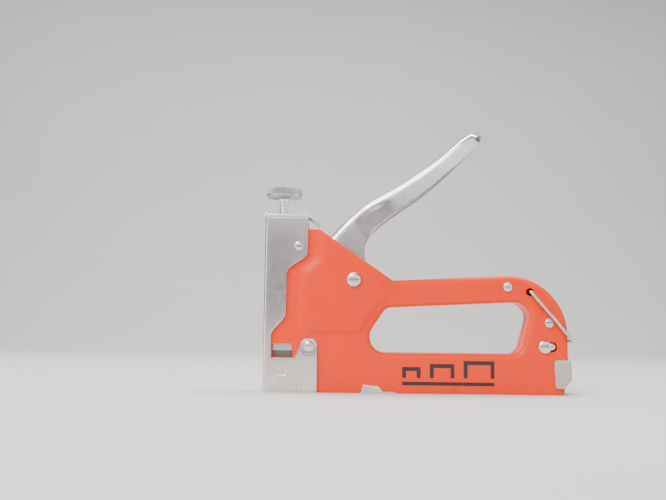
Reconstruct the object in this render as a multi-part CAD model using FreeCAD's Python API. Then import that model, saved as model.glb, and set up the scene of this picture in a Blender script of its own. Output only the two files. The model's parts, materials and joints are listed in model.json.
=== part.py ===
"""Hand staple gun with an adjustable spring, a squeeze lever and a pull-out magazine rail.

Frame: +X runs back along the magazine, +Y across the gun and +Z up towards the adjusting
knob. The gun stands on z = 0 and is the same on both sides of y = 0. While it is built,
x = 0 is at the staple outlet; at the end every piece moves by the same step, so that the
origin is under the middle of the whole gun.
Lengths are in millimetres. A point named *_x, *_z lies in the side view.
"""

import FreeCAD
import Part
import math
import os

Vector = FreeCAD.Vector

# ---------------------------------------------------------------- driving sizes
staple_crown = 11.3          # outside width of the staple that the magazine takes
staple_leg = 8.0             # longest leg
staple_wire = 0.7            # height of the staple's crown

casing_rear_x = 148.1        # back of the grip
casing_top_z = 79.9          # top edge of the casing, in front of the lever
casing_sheet = 1.0
cover_sheet = 1.0
channel_sheet = 0.9
lever_sheet = 1.3
cap_sheet = 0.9
plate_sheet = 1.5
rail_sheet = 0.8
bend_radius = 2.0            # outside radius of the casing's folded edges

slide_gap = 0.15             # between a sliding piece and its guide, each side
fit_gap = 0.05               # between pieces that are riveted or pressed together
free_gap = 0.3               # between a moving piece and anything it passes

pivot_x = 42.55              # lever pivot
pivot_z = 55.1
pivot_pin_radius = 2.5
lift_arm = 24.0              # pivot to lifting roller
lift_rest_angle = 15.0       # the arm points this far below level when the lever is open
lever_travel = 45.0          # degrees from open to squeezed

spring_wire_radius = 0.9
spring_coil_radius = 5.3     # to the middle of the wire
spring_clearance = 0.25      # between the main spring and the blade in front of it
spring_pitch = 4.5
screw_radius = 2.5
knob_radius = 9.4
knob_height = 5.4

blade_thickness = 1.1

# main spring, adjusting screw and striker share this axis
spring_axis_x = blade_thickness / 2 + spring_clearance + spring_coil_radius + spring_wire_radius

# ---------------------------------------------------------------- widths, out from the middle plane
channel_in_y = staple_crown / 2 + slide_gap
channel_out_y = channel_in_y + channel_sheet
casing_in_y = channel_out_y + free_gap
casing_out_y = casing_in_y + casing_sheet
cover_in_y = casing_out_y + fit_gap
cover_out_y = cover_in_y + cover_sheet
panel_rise = 1.6             # the pressed panel over the lever stands this far out
panel_out_y = casing_out_y + panel_rise
panel_in_y = casing_in_y + panel_rise
lever_root_y = casing_in_y - 0.6
lever_grip_y = lever_root_y + 1.7
far_y = 40.0                 # past everything, for cutting tools

# ---------------------------------------------------------------- nose and magazine, side view
cover_in_x = -blade_thickness / 2 - 0.1
cover_front_x = cover_in_x - cover_sheet
channel_front_x = blade_thickness / 2 + 0.2
rail_bottom_z = 0.8
rail_top_z = rail_bottom_z + staple_leg + 0.1
channel_roof_z = rail_top_z + staple_wire + free_gap
channel_top_z = channel_roof_z + channel_sheet

# ---------------------------------------------------------------- casing, side view
casing_front_x = -blade_thickness / 2
top_rear_x = 25.35
bar_front_x = 61.5
bar_front_z = 55.0
bar_rear_z = 58.1
rear_radius = 29.2
cap_notch_z = 17.4           # the casing is cut back below this for the end cap
cap_notch_x = casing_rear_x - 2.4

opening_front_x = 44.0       # sharp corner of the finger opening, before rounding
opening_floor_z = 19.4
grip_opening = [
    (opening_front_x, opening_floor_z, 7.8),
    (opening_front_x + 14.8, 41.6, 5.0),
    (casing_rear_x - 16.1, 45.4, 7.5),
    (casing_rear_x - 23.3, opening_floor_z, 6.0),
]

# ---------------------------------------------------------------- fasteners, side view
nose_upper_x = 15.3
nose_upper_z = casing_top_z - 8.4
nose_lower_x = 20.9
nose_lower_z = 22.3
grip_rivet_x = casing_rear_x - 29.6
grip_rivet_z = 52.3
rear_rivet_x = casing_rear_x - 9.5
rear_rivet_z = 34.9
catch_pin_x = casing_rear_x - 11.8
catch_pin_z = 23.2
catch_slot = 3.6
catch_slot_radius = 2.35
lock_x = casing_rear_x - 18.7
lock_z = 50.0
lock_wire_radius = 0.85
lock_rear_x = casing_rear_x + 0.35 + lock_wire_radius
lock_rest_z = 26.2
rivet_shank = 1.5
rivet_head_radius = 2.35
rivet_head_height = 1.1
nose_upper_head = (2.3, 1.0)     # radius and height of a rivet's head
nose_lower_head = (2.8, 1.4)
rivet_tail = (2.2, 0.5)          # the upper nose rivets are spread inside
spacer_radius = 2.6


# ================================================================ helpers
def at(x, z, y=0.0):
    """A point from its place in the side view."""
    return Vector(x, y, z)


def corner_arc(before, corner, after, radius):
    """Start, middle and end of the arc that rounds a corner."""
    to_before = (before - corner).normalize()
    to_after = (after - corner).normalize()
    half = to_before.getAngle(to_after) / 2
    reach = radius / math.tan(half)
    start = corner + to_before * reach
    end = corner + to_after * reach
    towards = (to_before + to_after).normalize()
    centre = corner + towards * (radius / math.sin(half))
    return start, centre - towards * radius, end


def rounded_wire(corners, place=at):
    """Closed wire through (u, v, radius) corners; place turns (u, v) into a point."""
    points = [place(u, v) for u, v, _ in corners]
    count = len(points)
    arcs = []
    for i, (_, _, radius) in enumerate(corners):
        if radius > 0:
            arcs.append(corner_arc(points[i - 1], points[i], points[(i + 1) % count], radius))
        else:
            arcs.append((points[i], None, points[i]))
    edges = []
    for i, (start, middle, end) in enumerate(arcs):
        if middle is not None:
            edges.append(Part.Arc(start, middle, end).toShape())
        following = arcs[(i + 1) % count][0]
        if (following - end).Length > 1e-4:
            edges.append(Part.LineSegment(end, following).toShape())
    return Part.Wire(edges)


def offset_corners(corners, distance):
    """The same outline grown by distance (shrunk if negative). Corners run clockwise or not."""
    count = len(corners)
    area = sum(
        corners[i][0] * corners[(i + 1) % count][1] - corners[(i + 1) % count][0] * corners[i][1]
        for i in range(count)
    )
    turn = 1.0 if area > 0 else -1.0
    grown = []
    for i, (u, v, radius) in enumerate(corners):
        before = corners[i - 1]
        after = corners[(i + 1) % count]
        into = Vector(u - before[0], v - before[1], 0).normalize()
        out = Vector(after[0] - u, after[1] - v, 0).normalize()
        normal_in = Vector(into.y, -into.x, 0) * turn
        normal_out = Vector(out.y, -out.x, 0) * turn
        middle = (normal_in + normal_out).normalize()
        reach = distance / middle.dot(normal_in)
        convex = (into.x * out.y - into.y * out.x) * turn > 0
        new_radius = max(radius + (distance if convex else -distance), 0.0) if radius > 0 else 0.0
        grown.append((u + middle.x * reach, v + middle.y * reach, new_radius))
    return grown


def slab(corners, y_low, y_high):
    """Side-view outline given thickness from y_low to y_high."""
    face = Part.Face(rounded_wire(corners, lambda x, z: at(x, z, y_low)))
    return face.extrude(Vector(0, y_high - y_low, 0))


def rectangle(x_low, x_high, z_low, z_high, radius=0.0):
    """Corners of a side-view rectangle."""
    return [
        (x_low, z_low, radius),
        (x_high, z_low, radius),
        (x_high, z_high, radius),
        (x_low, z_high, radius),
    ]


def box(x_low, x_high, y_low, y_high, z_low, z_high):
    """Plain block between two corners."""
    return Part.makeBox(
        x_high - x_low, y_high - y_low, z_high - z_low, Vector(x_low, y_low, z_low)
    )


def cross_rod(x, z, radius, y_low, y_high):
    """Round bar across the gun."""
    return Part.makeCylinder(radius, y_high - y_low, at(x, z, y_low), Vector(0, 1, 0))


def upright(x, radius, z_low, z_high, y=0.0):
    """Round bar standing up."""
    return Part.makeCylinder(radius, z_high - z_low, Vector(x, y, z_low), Vector(0, 0, 1))


def mirrored(shape):
    """The same shape on the other side of the gun."""
    return shape.mirror(Vector(0, 0, 0), Vector(0, 1, 0))


def pair(shape):
    """A piece and its mirror image, as two solids."""
    return Part.makeCompound([shape, mirrored(shape)])


def dome(x, z, y_face, radius, height):
    """Domed rivet head standing on the face at y_face, pointing to +Y."""
    rim = 0.25 * height
    rise = height - rim
    ball_radius = (radius ** 2 + rise ** 2) / (2 * rise)
    ball = Part.makeSphere(ball_radius, at(x, z, y_face + height - ball_radius))
    return ball.common(cross_rod(x, z, radius, y_face, y_face + height))


def through_rivet(x, z, shank, head_radius, y_face, height):
    """Rivet across the whole gun, with a domed head on each side."""
    head = dome(x, z, y_face, head_radius, height)
    rod = cross_rod(x, z, shank, -y_face, y_face)
    return rod.fuse(head).fuse(mirrored(head)).removeSplitter()


def strip_corners(path, thickness):
    """Outline of a bent strip: path holds (x, z, bend radius) along its middle."""
    half = thickness / 2
    left = []
    right = []
    last = len(path) - 1
    for i, (x, z, radius) in enumerate(path):
        into = None
        out = None
        if i > 0:
            into = Vector(x - path[i - 1][0], z - path[i - 1][1], 0).normalize()
        if i < last:
            out = Vector(path[i + 1][0] - x, path[i + 1][1] - z, 0).normalize()
        into = into or out
        out = out or into
        normal = (Vector(-into.y, into.x, 0) + Vector(-out.y, out.x, 0)).normalize()
        reach = half / normal.dot(Vector(-into.y, into.x, 0))
        turns_left = into.x * out.y - into.y * out.x > 0
        inside = max(radius - half, 0.0)
        outside = radius + half if radius > 0 else 0.0
        left.append((x + normal.x * reach, z + normal.y * reach, inside if turns_left else outside))
        right.append((x - normal.x * reach, z - normal.y * reach, outside if turns_left else inside))
    return left + right[::-1]


def ring_path(points):
    """Open wire of straight runs through 3-D points given as (point, bend radius)."""
    edges = []
    start = points[0][0]
    for i in range(1, len(points) - 1):
        corner, radius = points[i]
        arc = corner_arc(points[i - 1][0], corner, points[i + 1][0], radius)
        edges.append(Part.LineSegment(start, arc[0]).toShape())
        edges.append(Part.Arc(*arc).toShape())
        start = arc[2]
    edges.append(Part.LineSegment(start, points[-1][0]).toShape())
    return Part.Wire(edges)


def round_wire(path, radius):
    """Wire of round section along a path."""
    first = path.OrderedEdges[0]
    start = first.valueAt(first.FirstParameter)
    along = first.tangentAt(first.FirstParameter)
    section = Part.Wire(Part.Circle(start, along, radius).toShape())
    return path.makePipeShell([section], True, True)


def coil(coil_radius, wire_radius, pitch, length):
    """Compression spring standing on z = 0 about the Z axis, with its wire inside length."""
    rise = length - 2 * wire_radius
    helix = Part.makeLongHelix(pitch, rise, coil_radius, 0, False)
    helix.translate(Vector(0, 0, wire_radius))
    path = Part.Wire(helix.Edges)
    return round_wire(path, wire_radius)


# ================================================================ casing halves
# raised panel over the lever: its flat top, and the foot of its sloping sides
panel_top = [
    (18.0, 31.6, 5.0),
    (18.0, 57.0, 4.0),
    (27.0, 64.6, 4.0),
    (27.0, casing_top_z + 12.0, 0.0),
    (58.9, casing_top_z + 12.0, 0.0),
    (58.9, 31.6, 3.0),
]
panel_foot = [
    (15.6, 26.8, 7.0),
    (15.6, 58.2, 5.0),
    (24.6, 65.8, 5.0),
    (24.6, casing_top_z + 12.0, 0.0),
    (62.2, casing_top_z + 12.0, 0.0),
    (62.2, 26.8, 5.0),
]

casing_outline = [
    (casing_front_x, 0.0, 0.0),
    (casing_front_x, casing_top_z, 1.5),
    (top_rear_x, casing_top_z, 1.5),
    (bar_front_x, bar_front_z, 3.0),
    (casing_rear_x - rear_radius, bar_rear_z, 0.0),
    (casing_rear_x, bar_rear_z, rear_radius),
    (casing_rear_x, cap_notch_z, 0.0),
    (cap_notch_x, cap_notch_z, 0.0),
    (cap_notch_x, 0.0, 2.0),
]

# magazine ears wrap up round the casing's bottom edge here
ear_front_x = 46.5
ear_rear_x = 57.8
ear_top_z = 4.2
ear_tail_x = 63.4

window_x = (3.0, 12.9)       # sight window at the striker
window_z = (16.9, 23.5)
dent_x = (5.2, 10.2)         # keying dent of the nose cover
dent_z = (7.8, 12.2)


def panel_loft(foot, top, y_foot):
    """Solid with sloping sides between the panel's foot and its flat top."""
    low = rounded_wire(foot, lambda x, z: at(x, z, y_foot))
    high = rounded_wire(top, lambda x, z: at(x, z, y_foot + panel_rise))
    return Part.makeLoft([low, high], True, True)


def folded_edges(shape, y_level):
    """The casing's edges at y_level that are folded over: the grip's top and back."""
    found = []
    for edge in shape.Edges:
        middle = edge.valueAt((edge.FirstParameter + edge.LastParameter) / 2)
        level = all(abs(v.Point.y - y_level) < 1e-3 for v in edge.Vertexes)
        if level and middle.x > bar_front_x + 1.5 and middle.z > cap_notch_z + 1.0:
            found.append(edge)
    return found


def casing_skin():
    """Outside of the right half, solid from the middle plane out, with rounded folds."""
    base = slab(casing_outline, 0.0, casing_out_y)
    base = base.makeFillet(bend_radius, folded_edges(base, casing_out_y))
    hole = slab(grip_opening, -1.0, far_y)
    base = base.cut(hole)
    rim = [
        edge
        for edge in base.Edges
        if all(abs(v.Point.y - casing_out_y) < 1e-3 for v in edge.Vertexes)
        and hole.BoundBox.isInside(edge.CenterOfMass)
    ]
    base = base.makeFillet(bend_radius, rim)
    panel = panel_loft(panel_foot, panel_top, casing_out_y)
    panel = panel.common(slab(casing_outline, 0.0, far_y))
    panel = panel.cut(slab(offset_corners(grip_opening, bend_radius), -1.0, far_y))
    return base.fuse(panel)


def casing_hollow():
    """Space inside the right half. It runs out where the sheet isn't folded over."""
    out = 30.0
    inset = casing_sheet
    slope = (bar_rear_z - bar_front_z) / (casing_rear_x - rear_radius - bar_front_x)
    outline = [
        (casing_front_x - out, -out, 0.0),
        (casing_front_x - out, casing_top_z + out, 0.0),
        (bar_front_x, casing_top_z + out, 0.0),
        (bar_front_x, bar_front_z - inset, 0.0),
        (casing_rear_x - rear_radius, bar_rear_z - inset - inset * slope, 0.0),
        (casing_rear_x - inset, bar_rear_z - inset - inset * slope, rear_radius - inset),
        (casing_rear_x - inset, cap_notch_z - out, 0.0),
        (casing_rear_x - inset, -out, 0.0),
    ]
    hollow = slab(outline, -1.0, casing_in_y)
    panel = panel_loft(
        offset_corners(panel_foot, -0.35), offset_corners(panel_top, -0.35), casing_in_y
    )
    panel = panel.cut(slab(offset_corners(grip_opening, bend_radius + casing_sheet), -2.0, far_y))
    hollow = hollow.cut(slab(offset_corners(grip_opening, casing_sheet), -2.0, far_y))
    return hollow.fuse(panel)


def casing_right():
    """Right half of the sheet-steel casing."""
    half = casing_skin().cut(casing_hollow())
    holes = [
        cross_rod(pivot_x, pivot_z, pivot_pin_radius + fit_gap, 0, far_y),
        cross_rod(nose_upper_x, nose_upper_z, rivet_shank + fit_gap, 0, far_y),
        cross_rod(nose_lower_x, nose_lower_z, rivet_shank + fit_gap, 0, far_y),
        cross_rod(grip_rivet_x, grip_rivet_z, rivet_shank + fit_gap, 0, far_y),
        cross_rod(rear_rivet_x, rear_rivet_z, rivet_shank + fit_gap, 0, far_y),
        cross_rod(lock_x, lock_z, 1.9, casing_in_y - 0.5, far_y),
        slab(
            rectangle(
                catch_pin_x - catch_slot_radius,
                catch_pin_x + catch_slot + catch_slot_radius,
                catch_pin_z - catch_slot_radius,
                catch_pin_z + catch_slot_radius,
                catch_slot_radius - 0.01,
            ),
            casing_in_y - 0.5,
            far_y,
        ),
        slab(rectangle(*window_x, *window_z, 0.6), 0, far_y),
        slab(rectangle(dent_x[0] - 0.4, dent_x[1] + 0.4, dent_z[0] - 0.4, dent_z[1] + 0.4, 0.4), 0, far_y),
        box(ear_front_x - 0.5, ear_tail_x + 0.5, 0, far_y, -1, channel_sheet + 0.2),
    ]
    return half.cut(Part.makeCompound(holes))


# ================================================================ nose cover
cover_top_z = casing_top_z + 5.9
cover_side = [
    (cover_front_x - 5.0, 0.0, 0.0),
    (cover_front_x - 5.0, cover_top_z + 12.0, 0.0),
    (19.7, cover_top_z + 12.0, 0.0),
    (19.7, casing_top_z - 13.0, 4.0),
    (9.45, casing_top_z - 19.9, 6.0),
    (9.45, 37.0, 6.0),
    (2.35, 28.9, 3.0),
    (2.35, window_z[0] - 0.4, 0.6),
    (13.9, window_z[0] - 0.4, 1.5),
    (nose_lower_x - 2.9, nose_lower_z + 3.9, 3.0),
    (nose_lower_x + 4.0, nose_lower_z + 3.9, 3.6),
    (nose_lower_x + 4.0, 0.0, 0.0),
]
top_lug_y = 5.0              # half width of the lug that stands above the top plate
tab_y = 3.0                  # half width of the top plate's front tab
tab_reach = 1.9              # how far the tab stands out of the nose


def nose_cover():
    """Bright U-shaped pressing that wraps the nose and guides the blade."""
    far_x = 40.0

    def plan(x_front, y_side, radius):
        corners = [
            (x_front, -y_side, radius),
            (far_x, -y_side, 0.0),
            (far_x, y_side, 0.0),
            (x_front, y_side, radius),
        ]
        wire = rounded_wire(corners, lambda x, y: Vector(x, y, 0))
        return Part.Face(wire).extrude(Vector(0, 0, cover_top_z + 3.5))

    cover = plan(cover_front_x, cover_out_y, bend_radius)
    cover = cover.cut(plan(cover_in_x, cover_in_y, bend_radius - cover_sheet))
    cover = cover.common(slab(cover_side, -far_y, far_y))
    above = cover_top_z
    cover = cover.cut(
        Part.makeCompound(
            [
                box(cover_in_x, far_x, -far_y, far_y, above, above + 20),
                box(cover_front_x - 1, cover_in_x + 1, top_lug_y, far_y, above, above + 20),
                box(cover_front_x - 1, cover_in_x + 1, -far_y, -top_lug_y, above, above + 20),
                box(
                    cover_front_x - 1,
                    cover_in_x + 1,
                    -tab_y - fit_gap,
                    tab_y + fit_gap,
                    above,
                    above + plate_sheet + 2 * fit_gap,
                ),
                cross_rod(nose_upper_x, nose_upper_z, rivet_shank + fit_gap, -far_y, far_y),
                cross_rod(nose_lower_x, nose_lower_z, rivet_shank + fit_gap, -far_y, far_y),
            ]
        )
    )
    depth = 0.6
    recess = slab(rectangle(*dent_x, *dent_z, 0.8), cover_out_y - depth, far_y)
    bump = slab(
        offset_corners(rectangle(*dent_x, *dent_z, 0.8), 0.2),
        cover_in_y - depth,
        cover_in_y + 0.1,
    )
    dimple = cross_rod(16.1, 4.3, 1.1, cover_out_y - 0.3, far_y)
    for side in (recess, dimple):
        cover = cover.cut(side).cut(mirrored(side))
    return cover.fuse(bump).fuse(mirrored(bump)).removeSplitter()


# ================================================================ top plate and adjuster
plate_low_z = cover_top_z + fit_gap
plate_top_z = plate_low_z + plate_sheet
plate_bend_x = 20.6
leg_x = (11.5, 17.9)
leg_in_y = casing_in_y - slide_gap - 1.0
leg_out_y = casing_in_y - slide_gap


def top_plate():
    """Cap over the nose: front tab, bent rear tongue and two legs riveted inside the casing."""
    middle = (plate_low_z + plate_top_z) / 2
    path = [(cover_in_x, middle, 0), (plate_bend_x, middle, 2.0), (plate_bend_x + 5.0, middle - 4.6, 0)]
    plate = slab(strip_corners(path, plate_sheet), -top_lug_y, top_lug_y)
    wings = box(cover_in_x, plate_bend_x - 1.2, -cover_out_y, cover_out_y, plate_low_z, plate_top_z)
    tab = box(cover_front_x - tab_reach, cover_in_x + 1, -tab_y, tab_y, plate_low_z, plate_top_z)
    plate = plate.fuse([wings, tab])
    leg = slab(
        rectangle(*leg_x, nose_upper_z - 3.2, plate_low_z + 0.5, 1.5), leg_in_y, leg_out_y
    )
    leg = leg.cut(cross_rod(nose_upper_x, nose_upper_z, rivet_shank + fit_gap, 0, far_y))
    plate = plate.fuse([leg, mirrored(leg)])
    plate = plate.cut(upright(spring_axis_x, screw_radius + fit_gap, 0, 200))
    return plate.removeSplitter()


nut_height = 4.0


def hexagon(centre_x, across_flats, z_low, z_high):
    """Upright hexagonal bar with its flats facing +Y and -Y."""
    reach = across_flats / math.sqrt(3)
    points = [
        Vector(
            centre_x + reach * math.cos(math.radians(60 * k)),
            reach * math.sin(math.radians(60 * k)),
            z_low,
        )
        for k in range(6)
    ]
    face = Part.Face(Part.makePolygon(points + points[:1]))
    return face.extrude(Vector(0, 0, z_high - z_low))


def screw_nut():
    """Nut welded under the top plate, which the adjusting screw turns in."""
    nut = hexagon(spring_axis_x, 8.0, plate_low_z - fit_gap - nut_height, plate_low_z - fit_gap)
    return nut.cut(upright(spring_axis_x, screw_radius + fit_gap, 0, 200))


seat_top_z = casing_top_z + 0.1
seat_low_z = seat_top_z - 3.0
seat_spigot = 4.0            # length of the spigots that centre the main spring
screw_tip_z = seat_top_z - 1.5
knob_low_z = plate_top_z + 9.3
screw_collar_radius = 3.1
knob_dome = 1.5              # rise of the knob's top above its rim
post_radius = screw_radius - 0.4
post_height = knob_height - 1.6


def spring_seat():
    """Cup on top of the main spring. The screw's tip turns in it."""
    radius = spring_coil_radius + spring_wire_radius + 0.1
    spigot_radius = spring_coil_radius - spring_wire_radius - free_gap
    seat = upright(spring_axis_x, radius, seat_low_z, seat_top_z)
    seat = seat.fuse(upright(spring_axis_x, spigot_radius, seat_low_z - seat_spigot, seat_low_z))
    return seat.cut(upright(spring_axis_x, screw_radius + 0.1, screw_tip_z - fit_gap, seat_top_z + 1))


def adjusting_screw():
    """Screw that loads the main spring, with a collar under the knob."""
    tip = Part.makeCone(
        screw_radius - 0.6, screw_radius, 0.6, Vector(spring_axis_x, 0, screw_tip_z)
    )
    shank = upright(spring_axis_x, screw_radius, screw_tip_z + 0.6, knob_low_z)
    collar = upright(spring_axis_x, screw_collar_radius, knob_low_z - 1.6, knob_low_z)
    post = upright(spring_axis_x, post_radius, knob_low_z, knob_low_z + post_height)
    return tip.fuse([shank, collar, post]).removeSplitter()


def adjusting_knob():
    """Knob pressed on the screw, with a low domed top."""
    top_z = knob_low_z + knob_height
    ball_radius = (knob_radius ** 2 + knob_dome ** 2) / (2 * knob_dome)
    ball = Part.makeSphere(ball_radius, Vector(spring_axis_x, 0, top_z - ball_radius))
    knob = upright(spring_axis_x, knob_radius, knob_low_z, top_z)
    rim = [edge for edge in knob.Edges if abs(edge.CenterOfMass.z - knob_low_z) < 1e-3]
    knob = knob.makeChamfer(0.6, rim).common(ball)
    bore = upright(spring_axis_x, post_radius + fit_gap, knob_low_z - 1, knob_low_z + post_height)
    return knob.cut(bore)


# ================================================================ striker
bumper_low_z = channel_top_z + free_gap + 4.0
carrier_low_z = 20.1
bumper_top_z = carrier_low_z - 0.1
carrier_top_z = 30.0
carrier_front_x = blade_thickness / 2 + fit_gap
carrier_margin = 0.2         # the carrier reaches this far past the main spring
carrier_rear_x = spring_axis_x + spring_coil_radius + spring_wire_radius + carrier_margin
carrier_boss_height = 4.0
carrier_y = casing_in_y - 0.3
blade_y = staple_crown / 2 - 0.15
bracket_y = leg_in_y - 1.0
bracket_sheet = 1.6

roller_radius = 2.5
roller_x = pivot_x - lift_arm * math.cos(math.radians(lift_rest_angle))
roller_z = pivot_z - lift_arm * math.sin(math.radians(lift_rest_angle))
shelf_low_z = roller_z + roller_radius + 0.45
# the roller's top is this far back when the lever is squeezed; the shelf ends just past it
shelf_rear_x = pivot_x - lift_arm * math.cos(math.radians(lever_travel - lift_rest_angle)) + 0.25
lift_stroke = lift_arm * (
    math.sin(math.radians(lever_travel - lift_rest_angle))
    + math.sin(math.radians(lift_rest_angle))
)


def striker_carrier():
    """Block that the main spring drives down. A boss centres the spring on it."""
    block = box(
        carrier_front_x, carrier_rear_x, -carrier_y, carrier_y, carrier_low_z, carrier_top_z
    )
    boss_radius = spring_coil_radius - spring_wire_radius - free_gap
    block = block.fuse(
        upright(spring_axis_x, boss_radius, carrier_top_z, carrier_top_z + carrier_boss_height)
    )
    for z in striker_rivet_z:
        for y in (-striker_rivet_y, striker_rivet_y):
            hole = Part.makeCylinder(
                striker_rivet_radius + fit_gap,
                carrier_rear_x + 2,
                Vector(carrier_front_x - 1, y, z),
                Vector(1, 0, 0),
            )
            block = block.cut(hole)
    return block


striker_rivet_y = 2.8
striker_rivet_z = (22.6, 27.2)
striker_rivet_radius = 1.0
striker_head_radius = 1.8
striker_head_height = 0.5
blade_bottom_z = 0.3
blade_above_carrier = 6.0


def driver_blade():
    """Flat blade that shears one staple off the strip and drives it."""
    half = blade_thickness / 2
    blade = box(
        -half, half, -blade_y, blade_y, blade_bottom_z, carrier_top_z + blade_above_carrier
    )
    for z in striker_rivet_z:
        for y in (-striker_rivet_y, striker_rivet_y):
            hole = Part.makeCylinder(
                striker_rivet_radius + fit_gap, 4, Vector(-2, y, z), Vector(1, 0, 0)
            )
            blade = blade.cut(hole)
    return blade


def lifting_bracket():
    """Bent strip behind the spring. The roller lifts it by its shelf."""
    web_x = carrier_rear_x + fit_gap + bracket_sheet / 2
    shelf_z = shelf_low_z + bracket_sheet / 2
    path = [(web_x, carrier_low_z + 0.4, 0), (web_x, shelf_z, 1.6), (shelf_rear_x, shelf_z, 0)]
    strip = slab(strip_corners(path, bracket_sheet), -bracket_y, bracket_y)
    for z in striker_rivet_z:
        for y in (-striker_rivet_y, striker_rivet_y):
            hole = Part.makeCylinder(
                striker_rivet_radius + fit_gap, 6, Vector(web_x - 3, y, z), Vector(1, 0, 0)
            )
            strip = strip.cut(hole)
    return strip


def striker_rivets():
    """Four flush rivets that hold the blade and the bracket to the carrier."""
    head_x = carrier_rear_x + fit_gap + bracket_sheet
    forward = Vector(1, 0, 0)
    front = -blade_thickness / 2 + 0.05
    rivets = []
    for z in striker_rivet_z:
        for y in (-striker_rivet_y, striker_rivet_y):
            shank = Part.makeCylinder(
                striker_rivet_radius, head_x - front, Vector(front, y, z), forward
            )
            head = Part.makeCylinder(
                striker_head_radius, striker_head_height, Vector(head_x, y, z), forward
            )
            rivets.append(shank.fuse(head).removeSplitter())
    return Part.makeCompound(rivets)


def main_spring():
    """Heavy coil spring between the carrier and the seat."""
    low = carrier_top_z + 0.1
    high = seat_low_z - 0.1
    spring = coil(spring_coil_radius, spring_wire_radius, spring_pitch, high - low)
    spring.translate(Vector(spring_axis_x, 0, low))
    return spring


def bumper():
    """Rubber block that stops the striker. Its sides show in the sight windows."""
    return box(
        window_x[0] - 0.9,
        carrier_rear_x,
        -casing_in_y + fit_gap,
        casing_in_y - fit_gap,
        bumper_low_z,
        bumper_top_z,
    )


# ================================================================ lever
eye_radius = 3.3             # lever plate round the roller's pin
hub_radius = 8.0             # lever plate round the pivot
pivot_head_radius = 3.7
pivot_head_height = 1.8
pivot_washer_radius = 6.5
roller_pin_radius = 1.5

# upper edge of the lever, from inside the casing to the tip, and its lower edge back again
lever_upper = [
    (31.0, 76.8),
    (37.9, 84.0),
    (46.9, 91.2),
    (65.6, 102.8),
    (86.0, 116.6),
    (96.3, 125.3),
    (103.0, 130.6),
]
lever_tip = [(103.0, 130.6), (105.9, 130.6), (105.4, 127.8)]
lever_lower = [
    (105.4, 127.8),
    (96.2, 119.2),
    (75.7, 101.2),
    (58.5, 88.0),
    (51.0, 79.5),
    (48.0, 72.4),
    (48.6, 62.0),
]
lever_angle = 38.0           # of the lever's chord, for its plan outline


def curve(points):
    """Smooth edge through side-view points."""
    spline = Part.BSplineCurve()
    spline.interpolate([at(x, z) for x, z in points])
    return spline.toShape()


def lever_profile():
    """Side view of the lever pressing: grip, neck, hub and front arm."""
    hub = at(pivot_x, pivot_z)
    eye = at(roller_x, roller_z)
    down = Vector(math.sin(math.radians(lift_rest_angle)), 0, -math.cos(math.radians(lift_rest_angle)))
    start = at(*lever_upper[0])
    shoulder = at(pivot_x - 9.6, pivot_z + 8.6)
    hub_low = hub + down * hub_radius
    hub_back = at(pivot_x + hub_radius, pivot_z)
    end = at(*lever_lower[-1])
    forward = Vector(down.z, 0, -down.x)
    edges = [
        curve(lever_upper),
        Part.Arc(*[at(x, z) for x, z in lever_tip]).toShape(),
        curve(lever_lower),
        Part.LineSegment(end, hub_back).toShape(),
        Part.Arc(hub_back, hub + Vector(0.68, 0, -0.733) * hub_radius, hub_low).toShape(),
        Part.LineSegment(hub_low, eye + down * eye_radius).toShape(),
        Part.Arc(
            eye + down * eye_radius, eye + forward * eye_radius, eye - down * eye_radius
        ).toShape(),
        Part.LineSegment(eye - down * eye_radius, shoulder).toShape(),
        Part.LineSegment(shoulder, start).toShape(),
    ]
    return Part.Wire(Part.sortEdges(edges)[0])


def lever_plan(inset):
    """The lever's plan outline, seen square to its chord, as a tall solid."""
    root = lever_root_y - inset
    grip = lever_grip_y - inset
    tip = lever_grip_y - 2.0 - inset
    half = [
        (-70.0, root, 0.0),
        (10.0, root, 6.0),
        (20.0, grip, 6.0),
        (60.0, grip, 30.0),
        (84.6 - inset, tip, 4.2 - inset),
    ]
    corners = half + [(s, -y, r) for s, y, r in half[::-1]]
    turn = math.radians(lever_angle)
    along = Vector(math.cos(turn), 0, math.sin(turn))
    square = Vector(-math.sin(turn), 0, math.cos(turn))
    origin = at(37.0, 78.6)

    def place(s, y):
        return origin + along * s + Vector(0, y, 0) - square * 80

    return Part.Face(rounded_wire(corners, place)).extrude(square * 160)


def lever_hollow():
    """Space inside the lever's channel section, open along its lower edge."""
    inner = [(x + 0.62 * lever_sheet, z - 0.79 * lever_sheet) for x, z in lever_upper]
    first = at(*inner[0])
    last = at(*inner[-1])
    edges = [
        curve(inner),
        Part.LineSegment(last, at(160, 60)).toShape(),
        Part.LineSegment(at(160, 60), at(160, 0)).toShape(),
        Part.LineSegment(at(160, 0), at(-20, 0)).toShape(),
        Part.LineSegment(at(-20, 0), at(-20, first.z - 3)).toShape(),
        Part.LineSegment(at(-20, first.z - 3), at(first.x - 3, first.z - 3)).toShape(),
        Part.LineSegment(at(first.x - 3, first.z - 3), first).toShape(),
    ]
    face = Part.Face(Part.Wire(edges))
    deep = face.extrude(Vector(0, 2 * far_y, 0))
    deep.translate(Vector(0, -far_y, 0))
    return deep.common(lever_plan(lever_sheet))


def squeeze_lever():
    """Bright channel-section lever with two plates that run down to the pivot."""
    face = Part.Face(lever_profile())
    body = face.extrude(Vector(0, 2 * far_y, 0))
    body.translate(Vector(0, -far_y, 0))
    body = body.common(lever_plan(0.0))
    body = body.cut(lever_hollow())
    body = body.cut(cross_rod(pivot_x, pivot_z, pivot_pin_radius + fit_gap, -far_y, far_y))
    return body.cut(cross_rod(roller_x, roller_z, roller_pin_radius, -far_y, far_y))


def roller_pin():
    """Pin that carries the lifting roller between the lever's plates."""
    end = lever_root_y - 0.1
    return cross_rod(roller_x, roller_z, roller_pin_radius, -end, end)


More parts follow.
